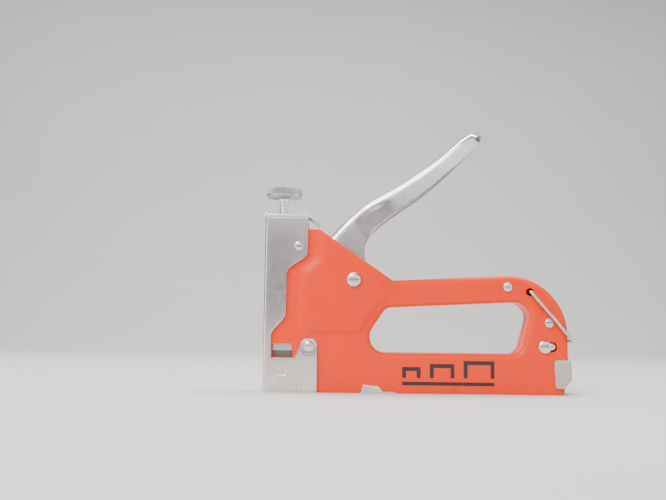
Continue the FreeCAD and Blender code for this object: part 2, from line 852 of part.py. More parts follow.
def lifting_roller():
    """Hardened roller that lifts the bracket's shelf."""
    end = lever_root_y - lever_sheet - slide_gap
    roller = cross_rod(roller_x, roller_z, roller_radius, -end, end)
    return roller.cut(
        cross_rod(roller_x, roller_z, roller_pin_radius + fit_gap, -far_y, far_y)
    )


def lever_pivot():
    """Pivot pin with large domed heads outside the casing."""
    return through_rivet(
        pivot_x, pivot_z, pivot_pin_radius, pivot_head_radius, panel_out_y, pivot_head_height
    )


def pivot_washers():
    """Two washers that centre the lever between the casing's raised panels."""
    low = lever_root_y + slide_gap
    washer = cross_rod(pivot_x, pivot_z, pivot_washer_radius, low, panel_in_y - fit_gap)
    washer = washer.cut(cross_rod(pivot_x, pivot_z, pivot_pin_radius + fit_gap, 0, far_y))
    return pair(washer)


return_wire = 0.6            # radius of the return spring's wire
return_turns = 4
return_coil_gap = 0.8        # between the coils and the pivot pin
return_lean = 22.8           # degrees that the upper leg leans forward
return_upper_leg = 24.0
return_lower_leg = 20.4


def return_spring():
    """Torsion spring round the pivot: one leg under the lever's web, one on the casing."""
    coil_radius = pivot_pin_radius + return_wire + return_coil_gap
    pitch = 2 * return_wire + 0.15
    rise = pitch * return_turns
    body = round_wire(Part.Wire(Part.makeHelix(pitch, rise, coil_radius).Edges), return_wire)
    legs = [
        Part.makeCylinder(return_wire, return_lower_leg, Vector(coil_radius, 0, rise), Vector(0, 1, 0)),
        Part.makeCylinder(return_wire, return_upper_leg, Vector(coil_radius, 0, 0), Vector(0, -1, 0)),
    ]
    spring = body.fuse(legs)
    # lay it across the gun: its first leg then points up, its last one down
    spring.translate(Vector(0, 0, -rise / 2))
    spring.rotate(Vector(0, 0, 0), Vector(1, 0, 0), -90)
    spring.rotate(Vector(0, 0, 0), Vector(0, 1, 0), -return_lean)
    spring.translate(at(pivot_x, pivot_z))
    return spring


# ================================================================ magazine
channel_rear_x = casing_rear_x - 8.6


def magazine_channel():
    """Inverted channel that the staples slide in, with ears round the casing's edge."""
    channel = box(channel_front_x, channel_rear_x, -channel_out_y, channel_out_y, 0, channel_top_z)
    channel = channel.cut(
        box(channel_front_x - 1, channel_rear_x + 1, -channel_in_y, channel_in_y, -1, channel_roof_z)
    )
    ear_y = casing_out_y + 0.1
    shelf = box(ear_front_x, ear_rear_x, channel_in_y + 0.1, ear_y + 0.9, 0, channel_sheet)
    ear = slab(
        [
            (ear_front_x, 0.0, 0.0),
            (ear_front_x + 0.9, ear_top_z, 1.0),
            (ear_rear_x - 3.0, ear_top_z - 0.8, 2.0),
            (ear_rear_x, 0.0, 0.0),
        ],
        ear_y,
        ear_y + 0.9,
    )
    tail = box(ear_rear_x - 1, ear_tail_x, channel_in_y + 0.1, ear_y + 0.5, 0, channel_sheet)
    for piece in (shelf, ear, tail):
        channel = channel.fuse([piece, mirrored(piece)])
    catch_hole = box(
        catch_nose_x - 4.0, catch_nose_x + 3.6, -catch_y - 0.4, catch_y + 0.4, 5, channel_top_z + 1
    )
    return channel.cut(catch_hole).removeSplitter()


rail_y = staple_crown / 2 - 0.95
rail_front_x = channel_front_x + 1.45
rail_rear_x = casing_rear_x - 1.1
guide_z = 4.6
guide_radius = 1.1
catch_nose_x = catch_pin_x - 4.3
catch_y = 2.6
pusher_length = 12.0
pusher_front_x = channel_front_x + 0.25
tab_front_x = pusher_front_x + 8.0
rear_block_x = casing_rear_x - 9.6


def inside_cap():
    """Space that the pieces which end in the cap may fill."""
    return slab(offset_corners(cap_cavity(-20.0), -fit_gap), -far_y, far_y)


def magazine_rail():
    """Inverted channel that the staples straddle. A slot lets the pusher's tab through."""
    low = rail_bottom_z
    high = rail_top_z
    rail = box(rail_front_x, rail_rear_x, -rail_y, rail_y, low, high)
    wall = rail_sheet
    rail = rail.cut(
        box(rail_front_x + 3.0, rail_rear_x + 1, -rail_y + wall, rail_y - wall, low - 1, high - wall)
    )
    rail = rail.cut(box(tab_front_x - 2.6, rear_block_x - 12.0, -1.7, 1.7, 5, high + 1))
    rail = rail.cut(
        box(catch_nose_x - 3.0, catch_nose_x + 2.6, -catch_y - 0.3, catch_y + 0.3, 6, high + 1)
    )
    bore = Part.makeCylinder(
        guide_radius + fit_gap, 6.0, Vector(rail_front_x - 1, 0, guide_z), Vector(1, 0, 0)
    )
    return rail.cut(bore).common(inside_cap())


def guide_rod():
    """Thin rod inside the rail that carries the pusher's spring."""
    end = rear_block_x + 4.0
    start = rail_front_x + 0.2
    return Part.makeCylinder(guide_radius, end - start, Vector(start, 0, guide_z), Vector(1, 0, 0))


def rear_block():
    """Block in the rail's end that holds the guide rod and the end cap."""
    block = box(
        rear_block_x,
        cap_in_x - fit_gap,
        -rail_y + rail_sheet + fit_gap,
        rail_y - rail_sheet - fit_gap,
        rail_bottom_z + 0.7,
        rail_top_z - rail_sheet - fit_gap,
    )
    bore = Part.makeCylinder(
        guide_radius + fit_gap, 5.1, Vector(rear_block_x - 1, 0, guide_z), Vector(1, 0, 0)
    )
    hole = Part.makeCylinder(
        1.05, 4.0, Vector(cap_in_x - 4.0, 0, cap_rivet_z), Vector(1, 0, 0)
    )
    return block.cut(bore).cut(hole).common(inside_cap())


def pusher():
    """Saddle that pushes the staples forward, with a tab down to the spring."""
    back = pusher_front_x + pusher_length
    top = channel_roof_z - slide_gap
    half = channel_in_y - slide_gap
    saddle = box(pusher_front_x, back, -half, half, rail_bottom_z + 0.7, top)
    saddle = saddle.cut(
        box(
            pusher_front_x - 1,
            back + 1,
            -rail_y - slide_gap,
            rail_y + slide_gap,
            rail_bottom_z - 1,
            rail_top_z + slide_gap,
        )
    )
    tab = box(tab_front_x, tab_front_x + 2.0, -1.4, 1.4, 2.4, top)
    ring = Part.makeCylinder(2.6, 2.0, Vector(tab_front_x, 0, guide_z), Vector(1, 0, 0))
    saddle = saddle.fuse([tab, ring]).removeSplitter()
    bore = Part.makeCylinder(
        guide_radius + slide_gap, 10.0, Vector(tab_front_x - 4, 0, guide_z), Vector(1, 0, 0)
    )
    return saddle.cut(bore)


def pusher_spring():
    """Long light spring on the guide rod, behind the pusher."""
    start = tab_front_x + 2.1
    end = rear_block_x - 0.1
    spring = coil(1.85, 0.3, 3.4, end - start)
    spring.rotate(Vector(0, 0, 0), Vector(0, 1, 0), 90)
    spring.translate(Vector(start, 0, guide_z))
    return spring


# ================================================================ end cap and catch
cap_low_z = 3.1
cap_top_z = cap_notch_z - 0.4
cap_front_x = casing_rear_x - 7.6
cap_out_x = casing_rear_x + 1.4
cap_in_x = cap_out_x - cap_sheet
cap_in_y = casing_out_y + slide_gap
cap_out_y = cap_in_y + cap_sheet
cap_rivet_z = 6.9


def cap_cavity(front_x):
    """Side view of the space inside the cap, carried forward to front_x."""
    top_rear_x = cap_out_x - 0.8 - 1.35 * cap_sheet
    low_rear_x = cap_out_x - 3.2 - 0.45 * cap_sheet
    return [
        (front_x, cap_low_z - 9.0, 0.0),
        (front_x, cap_top_z + 9.0, 0.0),
        (top_rear_x, cap_top_z + 9.0, 0.0),
        (top_rear_x, cap_top_z, 0.0),
        (cap_in_x - 0.1, cap_low_z + 4.6, 2.2),
        (low_rear_x, cap_low_z - 0.2, 0.0),
        (low_rear_x, cap_low_z - 9.0, 0.0),
    ]


def end_cap():
    """U-shaped cap that closes the magazine. Its wings run outside the casing."""
    side = [
        (cap_front_x, cap_low_z, 0.6),
        (cap_front_x - 0.4, cap_top_z, 1.4),
        (cap_out_x - 0.8, cap_top_z, 0.8),
        (cap_out_x, cap_low_z + 4.6, 3.0),
        (cap_out_x - 3.2, cap_low_z, 2.2),
    ]
    outer = slab(side, -cap_out_y, cap_out_y)
    corners = [edge for edge in outer.Edges if is_cap_corner(edge)]
    outer = outer.makeFillet(1.4, corners)
    cap = outer.cut(slab(cap_cavity(cap_front_x - 9.0), -cap_in_y, cap_in_y))
    hole = Part.makeCylinder(1.05, 6.0, Vector(cap_out_x - 4.0, 0, cap_rivet_z), Vector(1, 0, 0))
    return cap.cut(hole)


def is_cap_corner(edge):
    """True for the cap's two long upright rear corners, where wing and back wall meet."""
    ends = [v.Point for v in edge.Vertexes]
    if len(ends) < 2 or abs(abs(ends[0].y) - cap_out_y) > 1e-3:
        return False
    same_side = abs(ends[0].y - ends[1].y) < 1e-3
    tall = abs(ends[0].z - ends[1].z) > 5.0
    return same_side and tall and min(p.x for p in ends) > cap_front_x + 4.0


def cap_rivet():
    """Rivet that holds the end cap to the rear block."""
    head = Part.makeCylinder(2.0, 0.6, Vector(cap_out_x + 0.1, 0, cap_rivet_z), Vector(1, 0, 0))
    shank = Part.makeCylinder(
        1.0, cap_out_x + 0.1 - cap_in_x + 3.0, Vector(cap_in_x - 3.0, 0, cap_rivet_z), Vector(1, 0, 0)
    )
    return shank.fuse(head).removeSplitter()


catch_pin_radius = 1.9


def catch_pin():
    """Rear pin with large heads, which carries the catch spring."""
    return through_rivet(catch_pin_x, catch_pin_z, catch_pin_radius, 3.4, casing_out_y, 1.6)


catch_sheet = 0.6


def catch_spring():
    """Spring strip wrapped over the rear pin. Its nose drops into the rail's notch."""
    wrap = catch_pin_radius + slide_gap + catch_sheet / 2
    wrap_path = [
        (catch_pin_x + wrap + 0.6, catch_pin_z - 3.4, 0.0),
        (catch_pin_x + wrap + 0.2, catch_pin_z + wrap, 2.0),
        (catch_pin_x - wrap, catch_pin_z + wrap, 2.0),
        (catch_pin_x - wrap, catch_pin_z - 4.0, 0.0),
    ]
    tail_path = [
        (catch_pin_x - wrap, catch_pin_z - 3.0, 0.0),
        (catch_pin_x - wrap, catch_pin_z - 6.0, 3.0),
        (catch_nose_x + 1.4, channel_top_z + 1.4, 1.0),
        (catch_nose_x, rail_top_z - 0.55, 0.8),
        (catch_nose_x - 2.2, channel_top_z + 1.2, 0.0),
    ]
    wide = casing_in_y - free_gap
    wrapped = slab(strip_corners(wrap_path, catch_sheet), -wide, wide)
    tail = slab(strip_corners(tail_path, catch_sheet), -catch_y, catch_y)
    return wrapped.fuse(tail).removeSplitter()


# ================================================================ lever lock
def lock_wire():
    """Wire bail that swings over the squeezed lever to keep the gun shut."""
    arm_y = casing_out_y + rivet_head_height + free_gap + lock_wire_radius
    inner_y = casing_in_y - 1.2
    rear = at(lock_rear_x, lock_rest_z)
    hinge = at(lock_x, lock_z)
    across = Vector(0, 1, 0)
    path = ring_path(
        [
            (hinge - across * inner_y, 0),
            (hinge - across * arm_y, 1.4),
            (rear - across * arm_y, 1.8),
            (rear + across * arm_y, 1.8),
            (hinge + across * arm_y, 1.4),
            (hinge + across * inner_y, 0),
        ]
    )
    return round_wire(path, lock_wire_radius)


# ================================================================ rivets and spacers
def nose_rivets_upper():
    """One short rivet each side through cover, casing and top plate leg."""
    rivet = cross_rod(nose_upper_x, nose_upper_z, rivet_shank, leg_in_y, cover_out_y)
    tail = cross_rod(
        nose_upper_x, nose_upper_z, rivet_tail[0], leg_in_y - rivet_tail[1], leg_in_y
    )
    head = dome(nose_upper_x, nose_upper_z, cover_out_y, *nose_upper_head)
    return pair(rivet.fuse([tail, head]).removeSplitter())


def nose_rivet_lower():
    """Through rivet at the nose cover's lower ear."""
    head_radius, head_height = nose_lower_head
    return through_rivet(
        nose_lower_x, nose_lower_z, rivet_shank, head_radius, cover_out_y, head_height
    )


def grip_rivets():
    """Two through rivets that close the grip."""
    places = [(grip_rivet_x, grip_rivet_z), (rear_rivet_x, rear_rivet_z)]
    return Part.makeCompound(
        [
            through_rivet(x, z, rivet_shank, rivet_head_radius, casing_out_y, rivet_head_height)
            for x, z in places
        ]
    )


def spacers():
    """Tubes on the through rivets that hold the casing halves apart."""
    places = [
        (grip_rivet_x, grip_rivet_z),
        (rear_rivet_x, rear_rivet_z),
        (nose_lower_x, nose_lower_z),
    ]
    half = casing_in_y - fit_gap
    tubes = []
    for x, z in places:
        tube = cross_rod(x, z, spacer_radius, -half, half)
        tubes.append(tube.cut(cross_rod(x, z, rivet_shank + fit_gap, -far_y, far_y)))
    return Part.makeCompound(tubes)


# ================================================================ build and write
def build():
    """Every piece by the name of its node."""
    right = casing_right()
    return {
        "casing_right": right,
        "casing_left": mirrored(right),
        "nose_cover": nose_cover(),
        "top_plate": top_plate(),
        "screw_nut": screw_nut(),
        "spring_seat": spring_seat(),
        "adjusting_screw": adjusting_screw(),
        "adjusting_knob": adjusting_knob(),
        "striker_carrier": striker_carrier(),
        "driver_blade": driver_blade(),
        "lifting_bracket": lifting_bracket(),
        "striker_rivets": striker_rivets(),
        "main_spring": main_spring(),
        "bumper": bumper(),
        "squeeze_lever": squeeze_lever(),
        "roller_pin": roller_pin(),
        "lifting_roller": lifting_roller(),
        "lever_pivot": lever_pivot(),
        "pivot_washers": pivot_washers(),
        "return_spring": return_spring(),
        "magazine_channel": magazine_channel(),
        "magazine_rail": magazine_rail(),
        "guide_rod": guide_rod(),
        "rear_block": rear_block(),
        "pusher": pusher(),
        "pusher_spring": pusher_spring(),
        "end_cap": end_cap(),
        "cap_rivet": cap_rivet(),
        "catch_pin": catch_pin(),
        "catch_spring": catch_spring(),
        "lock_wire": lock_wire(),
        "nose_rivets_upper": nose_rivets_upper(),
        "nose_rivet_lower": nose_rivet_lower(),
        "grip_rivets": grip_rivets(),
        "spacers": spacers(),
    }


def main():
    os.makedirs("parts", exist_ok=True)
    front_x = cover_front_x - tab_reach
    rear_x = lock_rear_x + lock_wire_radius
    middle_x = (front_x + rear_x) / 2
    print(f"the staple outlet is {middle_x:.3f} mm in front of the origin")
    for name, shape in build().items():
        shape.translate(Vector(-middle_x, 0, 0))
        solids = shape.Solids
        print(f"{name}: {len(solids)} solid(s), {shape.Volume:.1f} mm3, valid {shape.isValid()}")
        shape.exportStep(f"parts/{name}.step")
    print(f"striker stroke {lift_stroke:.3f} mm over {lever_travel} degrees of lever")


main()
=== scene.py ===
# %% [markdown]
# # A hand staple gun
# The gun is a folded sheet-steel body in orange enamel, with a bright nickel nose, a nickel
# channel lever, a knurled adjuster and a wire lock. The frame from the engineering model is
# loaded first. It gives every piece its place, and nothing in it is moved or resized.

# %% Load the frame
import json
import math

import bmesh
import bpy
import numpy as np
from mathutils import Matrix, Vector
from mathutils.geometry import delaunay_2d_cdt

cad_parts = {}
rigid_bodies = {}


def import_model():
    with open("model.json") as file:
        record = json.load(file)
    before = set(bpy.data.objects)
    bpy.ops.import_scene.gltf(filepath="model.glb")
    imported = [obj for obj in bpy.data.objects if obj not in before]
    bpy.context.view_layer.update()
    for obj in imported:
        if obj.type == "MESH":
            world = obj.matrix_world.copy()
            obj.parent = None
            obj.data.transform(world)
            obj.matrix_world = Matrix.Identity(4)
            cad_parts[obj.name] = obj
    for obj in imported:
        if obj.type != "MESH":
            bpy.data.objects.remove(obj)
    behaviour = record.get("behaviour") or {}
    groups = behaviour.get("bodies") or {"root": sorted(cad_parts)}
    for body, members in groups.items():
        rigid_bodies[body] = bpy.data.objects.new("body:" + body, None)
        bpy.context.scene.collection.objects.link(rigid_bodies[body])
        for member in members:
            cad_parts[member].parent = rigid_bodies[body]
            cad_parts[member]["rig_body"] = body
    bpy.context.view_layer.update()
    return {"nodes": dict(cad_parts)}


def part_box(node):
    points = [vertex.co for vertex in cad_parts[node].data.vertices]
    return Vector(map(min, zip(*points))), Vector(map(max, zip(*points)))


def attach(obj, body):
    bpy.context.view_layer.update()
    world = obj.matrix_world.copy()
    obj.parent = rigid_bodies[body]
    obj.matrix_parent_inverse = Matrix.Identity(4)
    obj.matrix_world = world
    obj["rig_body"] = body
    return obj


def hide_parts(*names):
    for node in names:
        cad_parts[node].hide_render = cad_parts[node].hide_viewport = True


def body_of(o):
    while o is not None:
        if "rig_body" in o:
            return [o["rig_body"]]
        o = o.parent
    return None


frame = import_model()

nodes = frame["nodes"]
MM = 0.001

# %% [markdown]
# Workshop drawings of such a gun are made in the side view, in millimetres, from the staple
# outlet. The same habit is kept here: a shape is worked out as (x, y, z) in millimetres, and one
# function carries it to its place in metres. The outlet is where the driver blade stands.

# %% From drawing to place
blade_low, blade_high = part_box("driver_blade")
outlet_x = (blade_low.x + blade_high.x) / 2


def place(points):
    """Drawing millimetres to the frame's metres."""
    points = np.asarray(points, float).reshape(-1, 3) * MM
    points[:, 0] += outlet_x
    return points


def drawing(corner):
    """A corner given by the frame, in drawing millimetres."""
    return (corner.x - outlet_x) / MM, corner.y / MM, corner.z / MM


print("outlet x:", round(outlet_x, 5))

# %% [markdown]
# Pressed parts have rounded corners, so an outline is written as a few corners with a radius
# each. A helper turns that into a dense closed line. Splines are needed for the lever, whose
# edges are free curves.


# %% Outlines
def sample_line(start, end, step):
    """Points from start up to, but not with, end."""
    count = max(1, int(round(np.linalg.norm(end - start) / step)))
    share = np.arange(count)[:, None] / count
    return start + (end - start) * share


def rounded_outline(corners, step=0.8):
    """Closed line through (u, v, radius) corners, as an array of points."""
    points = np.array([c[:2] for c in corners], float)
    arcs = []
    for i, (_, _, radius) in enumerate(corners):
        corner = points[i]
        if radius <= 0:
            arcs.append(corner[None])
            continue
        back = points[i - 1] - corner
        ahead = points[(i + 1) % len(points)] - corner
        back /= np.linalg.norm(back)
        ahead /= np.linalg.norm(ahead)
        half = math.acos(np.clip(back @ ahead, -1, 1)) / 2
        middle = (back + ahead) / np.linalg.norm(back + ahead)
        centre = corner + middle * radius / math.sin(half)
        first = corner + back * radius / math.tan(half) - centre
        last = corner + ahead * radius / math.tan(half) - centre
        sweep = math.pi - 2 * half
        count = max(3, int(sweep * radius / (0.6 * step)), int(sweep / 0.2))
        turn = 1 if first[0] * last[1] - first[1] * last[0] > 0 else -1
        angles = np.linspace(0, turn * sweep, count + 1)
        cos, sin = np.cos(angles), np.sin(angles)
        arcs.append(
            centre + np.c_[first[0] * cos - first[1] * sin, first[0] * sin + first[1] * cos]
        )
    line = []
    for i, arc in enumerate(arcs):
        line.append(arc[:-1])
        line.append(sample_line(arc[-1], arcs[(i + 1) % len(arcs)][0], step))
    return np.vstack(line)


def smooth_line(points, step=0.8):
    """Open curve through the points (centripetal Catmull-Rom), with both ends."""
    points = np.array(points, float)
    ends = [2 * points[0] - points[1], 2 * points[-1] - points[-2]]
    points = np.vstack([ends[0], points, ends[1]])
    line = []
    for p0, p1, p2, p3 in zip(points, points[1:], points[2:], points[3:]):
        t1 = math.sqrt(np.linalg.norm(p1 - p0))
        t2 = t1 + math.sqrt(np.linalg.norm(p2 - p1))
        t3 = t2 + math.sqrt(np.linalg.norm(p3 - p2))
        count = max(2, int(np.linalg.norm(p2 - p1) / step))
        t = np.linspace(t1, t2, count, endpoint=False)[:, None]
        a1 = p0 * (t1 - t) / t1 + p1 * t / t1
        a2 = p1 * (t2 - t) / (t2 - t1) + p2 * (t - t1) / (t2 - t1)
        a3 = p2 * (t3 - t) / (t3 - t2) + p3 * (t - t2) / (t3 - t2)
        b1 = a1 * (t2 - t) / t2 + a2 * t / t2
        b2 = a2 * (t3 - t) / (t3 - t1) + a3 * (t - t1) / (t3 - t1)
        line.append(b1 * (t2 - t) / (t2 - t1) + b2 * (t - t1) / (t2 - t1))
    line.append(points[-2][None])
    return np.vstack(line)


def distance_to(points, line, closed=True):
    """Distance from each point to a line of straight runs."""
    start = line if closed else line[:-1]
    end = np.roll(line, -1, 0) if closed else line[1:]
    run = end - start
    length2 = np.maximum((run ** 2).sum(1), 1e-12)
    best = np.full(len(points), 1e9)
    for a, r, l2 in zip(start, run, length2):
        share = np.clip(((points - a) @ r) / l2, 0, 1)
        gap = points - a - share[:, None] * r
        best = np.minimum(best, np.sqrt((gap ** 2).sum(1)))
    return best


def inside(points, loops):
    """True for points inside the outer loop and outside the holes."""
    hit = np.zeros(len(points), bool)
    x, y = points[:, 0], points[:, 1]
    for loop in loops:
        for (x0, y0), (x1, y1) in zip(loop, np.roll(loop, -1, 0)):
            if y0 == y1:
                continue
            crosses = (y0 > y) != (y1 > y)
            hit ^= crosses & (x < (x1 - x0) * (y - y0) / (y1 - y0) + x0)
    return hit


def smoothstep(value):
    """0 below 0, 1 above 1, and a soft S between."""
    value = np.clip(value, 0, 1)
    return value * value * (3 - 2 * value)


# %% [markdown]
# A pressing starts as a flat blank. So the blank is filled with triangles first: a fine grid
# inside, and rows of points that follow each edge that will be folded. Blender's own Delaunay
# triangulation joins them. The flat blank is then lifted, pressed and folded by formula, which
# gives smooth bends that a bevel on a hard block never has.


# %% Flat blanks
row_height = 0.866          # of a row of even triangles, as a share of the grid
edge_gap = 0.45             # grid points keep this share of the grid away from an edge
fold_rows = (0, 15, 30, 45, 60, 75)     # degrees round the bend that get a row of points
nudge = 0.03                # millimetres of play in the distance tests
rim_gap = 0.3               # rows round a bend stay this far from the rim
on_fold = 1e-2              # a point this close to a folded line lies on it


def blank(loops, folded, bend, grid=1.2, fine=()):
    """Points and triangles that fill the loops, with rows beside the folded lines.

    fine lists (low u, low v, high u, high v, spacing) boxes that get closer points.
    """
    outer = loops[0]
    low, high = outer.min(0), outer.max(0)
    rows = np.arange(low[1], high[1], grid * row_height)
    cloud = [
        np.array([(x, v) for x in np.arange(low[0] + (i % 2) * grid / 2, high[0], grid)])
        for i, v in enumerate(rows)
    ]
    cloud = np.vstack(cloud)
    keep = inside(cloud, loops)
    for loop in loops:
        keep &= distance_to(cloud, loop) > edge_gap * grid
    for line, closed in folded:
        keep &= distance_to(cloud, line, closed) > bend + edge_gap * grid
    for u0, v0, u1, v1, _ in fine:
        boxed = (cloud > [u0, v0]).all(1) & (cloud < [u1, v1]).all(1)
        keep &= ~boxed
    inner = [cloud[keep]]
    for u0, v0, u1, v1, spacing in fine:
        u, v = np.meshgrid(np.arange(u0, u1, spacing), np.arange(v0, v1, spacing))
        u[1::2] += spacing * 0.4
        inner.append(np.c_[u.ravel(), v.ravel()])
    for line, closed in folded:
        ahead = np.roll(line, -1, 0) - np.roll(line, 1, 0)
        if not closed:
            ahead[0] = line[1] - line[0]
            ahead[-1] = line[-1] - line[-2]
        ahead /= np.linalg.norm(ahead, axis=1)[:, None]
        normal = np.c_[-ahead[:, 1], ahead[:, 0]]
        probe = line + normal * 0.05
        side = np.where(inside(probe, loops), 1.0, -1.0)[:, None]
        for angle in fold_rows:
            reach = bend * (1 - math.sin(math.radians(angle)))
            row = line + normal * side * reach
            good = inside(row, loops) & (distance_to(row, line, closed) > reach - nudge)
            for loop in loops:
                good &= distance_to(row, loop) > min(reach - nudge, rim_gap)
            inner.append(row[good])
    points = np.vstack([*loops, *inner])
    edges = []
    first = 0
    for loop in loops:
        count = len(loop)
        edges += [(first + i, first + (i + 1) % count) for i in range(count)]
        first += count
    flat = [Vector((float(u), float(v))) for u, v in points]
    flat, _, faces, _, _, _ = delaunay_2d_cdt(flat, edges, [], 0, 1e-4)
    flat = np.array([tuple(p) for p in flat])
    faces = np.array([tuple(f) for f in faces if len(f) == 3])
    centres = flat[faces].mean(1)
    return flat, faces[inside(centres, loops)]


def open_edges(faces):
    """Directed edges that only one triangle uses."""
    seen = {}
    for face in faces:
        for a, b in zip(face, np.roll(face, -1)):
            seen[(int(a), int(b))] = True
    return [(a, b) for a, b in seen if (b, a) not in seen]


def strips(flat, faces, folded, across):
    """New points and faces that carry the sheet on from its folded open edges.

    folded(a, b) tells whether an edge is folded, and across(v) gives the Y of the points beside v.
    """
    points, strip, rung = [], [], {}
    for a, b in open_edges(faces):
        if not folded(a, b):
            continue
        for v in (a, b):
            if v not in rung:
                first = len(flat) + len(points)
                points += [(flat[v, 0], y, flat[v, 1]) for y in across(v)]
                rung[v] = [v, *range(first, len(flat) + len(points))]
        for i in range(len(rung[a]) - 1):
            strip.append((rung[b][i], rung[a][i], rung[a][i + 1], rung[b][i + 1]))
    return points, strip


def bend_drop(distance, bend):
    """How far the sheet has turned down at a distance from its folded edge."""
    left = np.clip(bend - distance, 0, bend)
    return bend - np.sqrt(bend ** 2 - left ** 2)


# %% [markdown]
# Every finished piece is a plain mesh at the origin, with its place in its points. These helpers
# make the object, apply its modifiers, set smooth shading with crisp corners, and hand it to the
# body that it moves with.


# %% Pieces
def shade(mesh, angle=40):
    """Smooth shading, kept crisp where faces meet at more than the angle."""
    mesh.polygons.foreach_set("use_smooth", [True] * len(mesh.polygons))
    mesh.set_sharp_from_angle(angle=math.radians(angle))


def settle(piece, angle=40):
    """Turn an object with modifiers into a plain mesh."""
    bpy.context.view_layer.update()
    evaluated = piece.evaluated_get(bpy.context.evaluated_depsgraph_get())
    mesh = bpy.data.meshes.new_from_object(evaluated)
    mesh.name = piece.name
    piece.modifiers.clear()
    piece.data = mesh
    shade(mesh, angle)
    return piece


def add_object(name, data):
    """New object in the scene."""
    piece = bpy.data.objects.new(name, data)
    bpy.context.scene.collection.objects.link(piece)
    return piece


def mesh_piece(name, points, faces, material, edges=()):
    """Object from drawing points and faces, or from points and loose edges."""
    mesh = bpy.data.meshes.new(name)
    faces = [tuple(int(i) for i in f) for f in faces]
    mesh.from_pydata([tuple(p) for p in place(points)], list(edges), faces)
    mesh.materials.append(material)
    return add_object(name, mesh)


def break_edges(piece, width, segments, angle):
    """Bevel the edges that turn by more than the angle."""
    broken = piece.modifiers.new("broken_edges", "BEVEL")
    broken.width = width * MM
    broken.segments = segments
    broken.limit_method = "ANGLE"
    broken.angle_limit = math.radians(angle)
    broken.use_clamp_overlap = True


def add_other_half(piece):
    """Mirror a half across the middle plane of the gun."""
    half = piece.modifiers.new("other_half", "MIRROR")
    half.use_axis = (False, True, False)
    half.merge_threshold = 0.01 * MM


def thicken(piece, sheet, edge):
    """Give a skin its sheet thickness, inward, with broken edges."""
    wall = piece.modifiers.new("sheet", "SOLIDIFY")
    wall.thickness = sheet * MM
    wall.offset = -1
    wall.use_even_offset = True
    wall.use_quality_normals = True
    break_edges(piece, edge, 2, 55)


def hand_over(piece, body, slot, *replaced):
    """Let a piece ride on its body and stand for the plain nodes."""
    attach(piece, body)
    if replaced:
        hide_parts(*replaced)
    faces = sum(len(p.vertices) - 2 for p in piece.data.polygons)
    print(f"{piece.name}: {faces} triangles on {body}")
    return piece


# %% [markdown]
# ## Finishes
# Small effects are shared by many metals and paints: finger smudges, fine scratches and the
# slight ripple of rolled sheet. Each is one shader group with its own inputs, so every finish can
# turn it up or down. They read Object coordinates, so they sit still on a piece as it moves.


# %% Shader groups
def shader_group(name, inputs, outputs):
    """Empty shader group with its sockets."""
    group = bpy.data.node_groups.new(name, "ShaderNodeTree")
    for label, value in inputs:
        socket = group.interface.new_socket(label, in_out="INPUT", socket_type="NodeSocketFloat")
        socket.default_value = value
    for label in outputs:
        group.interface.new_socket(label, in_out="OUTPUT", socket_type="NodeSocketFloat")
    return group, group.nodes.new("NodeGroupInput"), group.nodes.new("NodeGroupOutput")


def math_node(tree, operation, a, b=None, clamp=False):
    """Math node fed by sockets or numbers."""
    node = tree.nodes.new("ShaderNodeMath")
    node.operation = operation
    node.use_clamp = clamp
    for socket, value in zip(node.inputs, (a, b)):
        if value is None:
            continue
        if isinstance(value, (int, float)):
            socket.default_value = value
        else:
            tree.links.new(value, socket)
    return node.outputs[0]


def object_noise(tree, scale, detail=3.0, rough=0.5, stretch=(1, 1, 1)):
    """Noise over the piece. scale is in features per metre, stretch per axis."""
    where = tree.nodes.new("ShaderNodeTexCoord").outputs["Object"]
    mapping = tree.nodes.new("ShaderNodeMapping")
    mapping.inputs["Scale"].default_value = stretch
    noise = tree.nodes.new("ShaderNodeTexNoise")
    noise.inputs["Detail"].default_value = detail
    noise.inputs["Roughness"].default_value = rough
    tree.links.new(where, mapping.inputs["Vector"])
    tree.links.new(mapping.outputs["Vector"], noise.inputs["Vector"])
    if isinstance(scale, (int, float)):
        noise.inputs["Scale"].default_value = scale
    else:
        tree.links.new(scale, noise.inputs["Scale"])
    return noise.outputs["Fac"]


def new_material(name):
    """Material, with its tree and its shader."""
    material = bpy.data.materials.new(name)
    material.use_nodes = True
    tree = material.node_tree
    return material, tree, tree.nodes["Principled BSDF"]


def colour_mix(tree, first, second, share):
    """Mix from a first colour or socket to a second colour."""
    mix = tree.nodes.new("ShaderNodeMix")
    mix.data_type = "RGBA"
    mix.inputs["B"].default_value = (*second, 1)
    if isinstance(first, bpy.types.NodeSocket):
        tree.links.new(first, mix.inputs["A"])
    else:
        mix.inputs["A"].default_value = (*first, 1)
    tree.links.new(share, mix.inputs["Factor"])
    return mix.outputs["Result"]


def ramp(tree, value, low, high):
    """Value mapped from low..high to 0..1."""
    node = tree.nodes.new("ShaderNodeMapRange")
    node.inputs["From Min"].default_value = low
    node.inputs["From Max"].default_value = high
    tree.links.new(value, node.inputs["Value"])
    return node.outputs["Result"]


def make_smudges():
    """Finger smudges and dull patches: 0 clean, 1 dull."""
    group, given, out = shader_group("smudges", [("Scale", 70.0), ("Amount", 0.5)], ["Mask"])
    broad = ramp(group, object_noise(group, given.outputs["Scale"], 4.0, 0.6), 0.42, 0.72)
    fine_scale = math_node(group, "MULTIPLY", given.outputs["Scale"], 7.0)
    fine = ramp(group, object_noise(group, fine_scale, 2.0, 0.5), 0.3, 0.8)
    both = math_node(group, "MULTIPLY", broad, math_node(group, "ADD", fine, 0.35, True))
    group.links.new(math_node(group, "MULTIPLY", both, given.outputs["Amount"], True), out.inputs["Mask"])
    return group


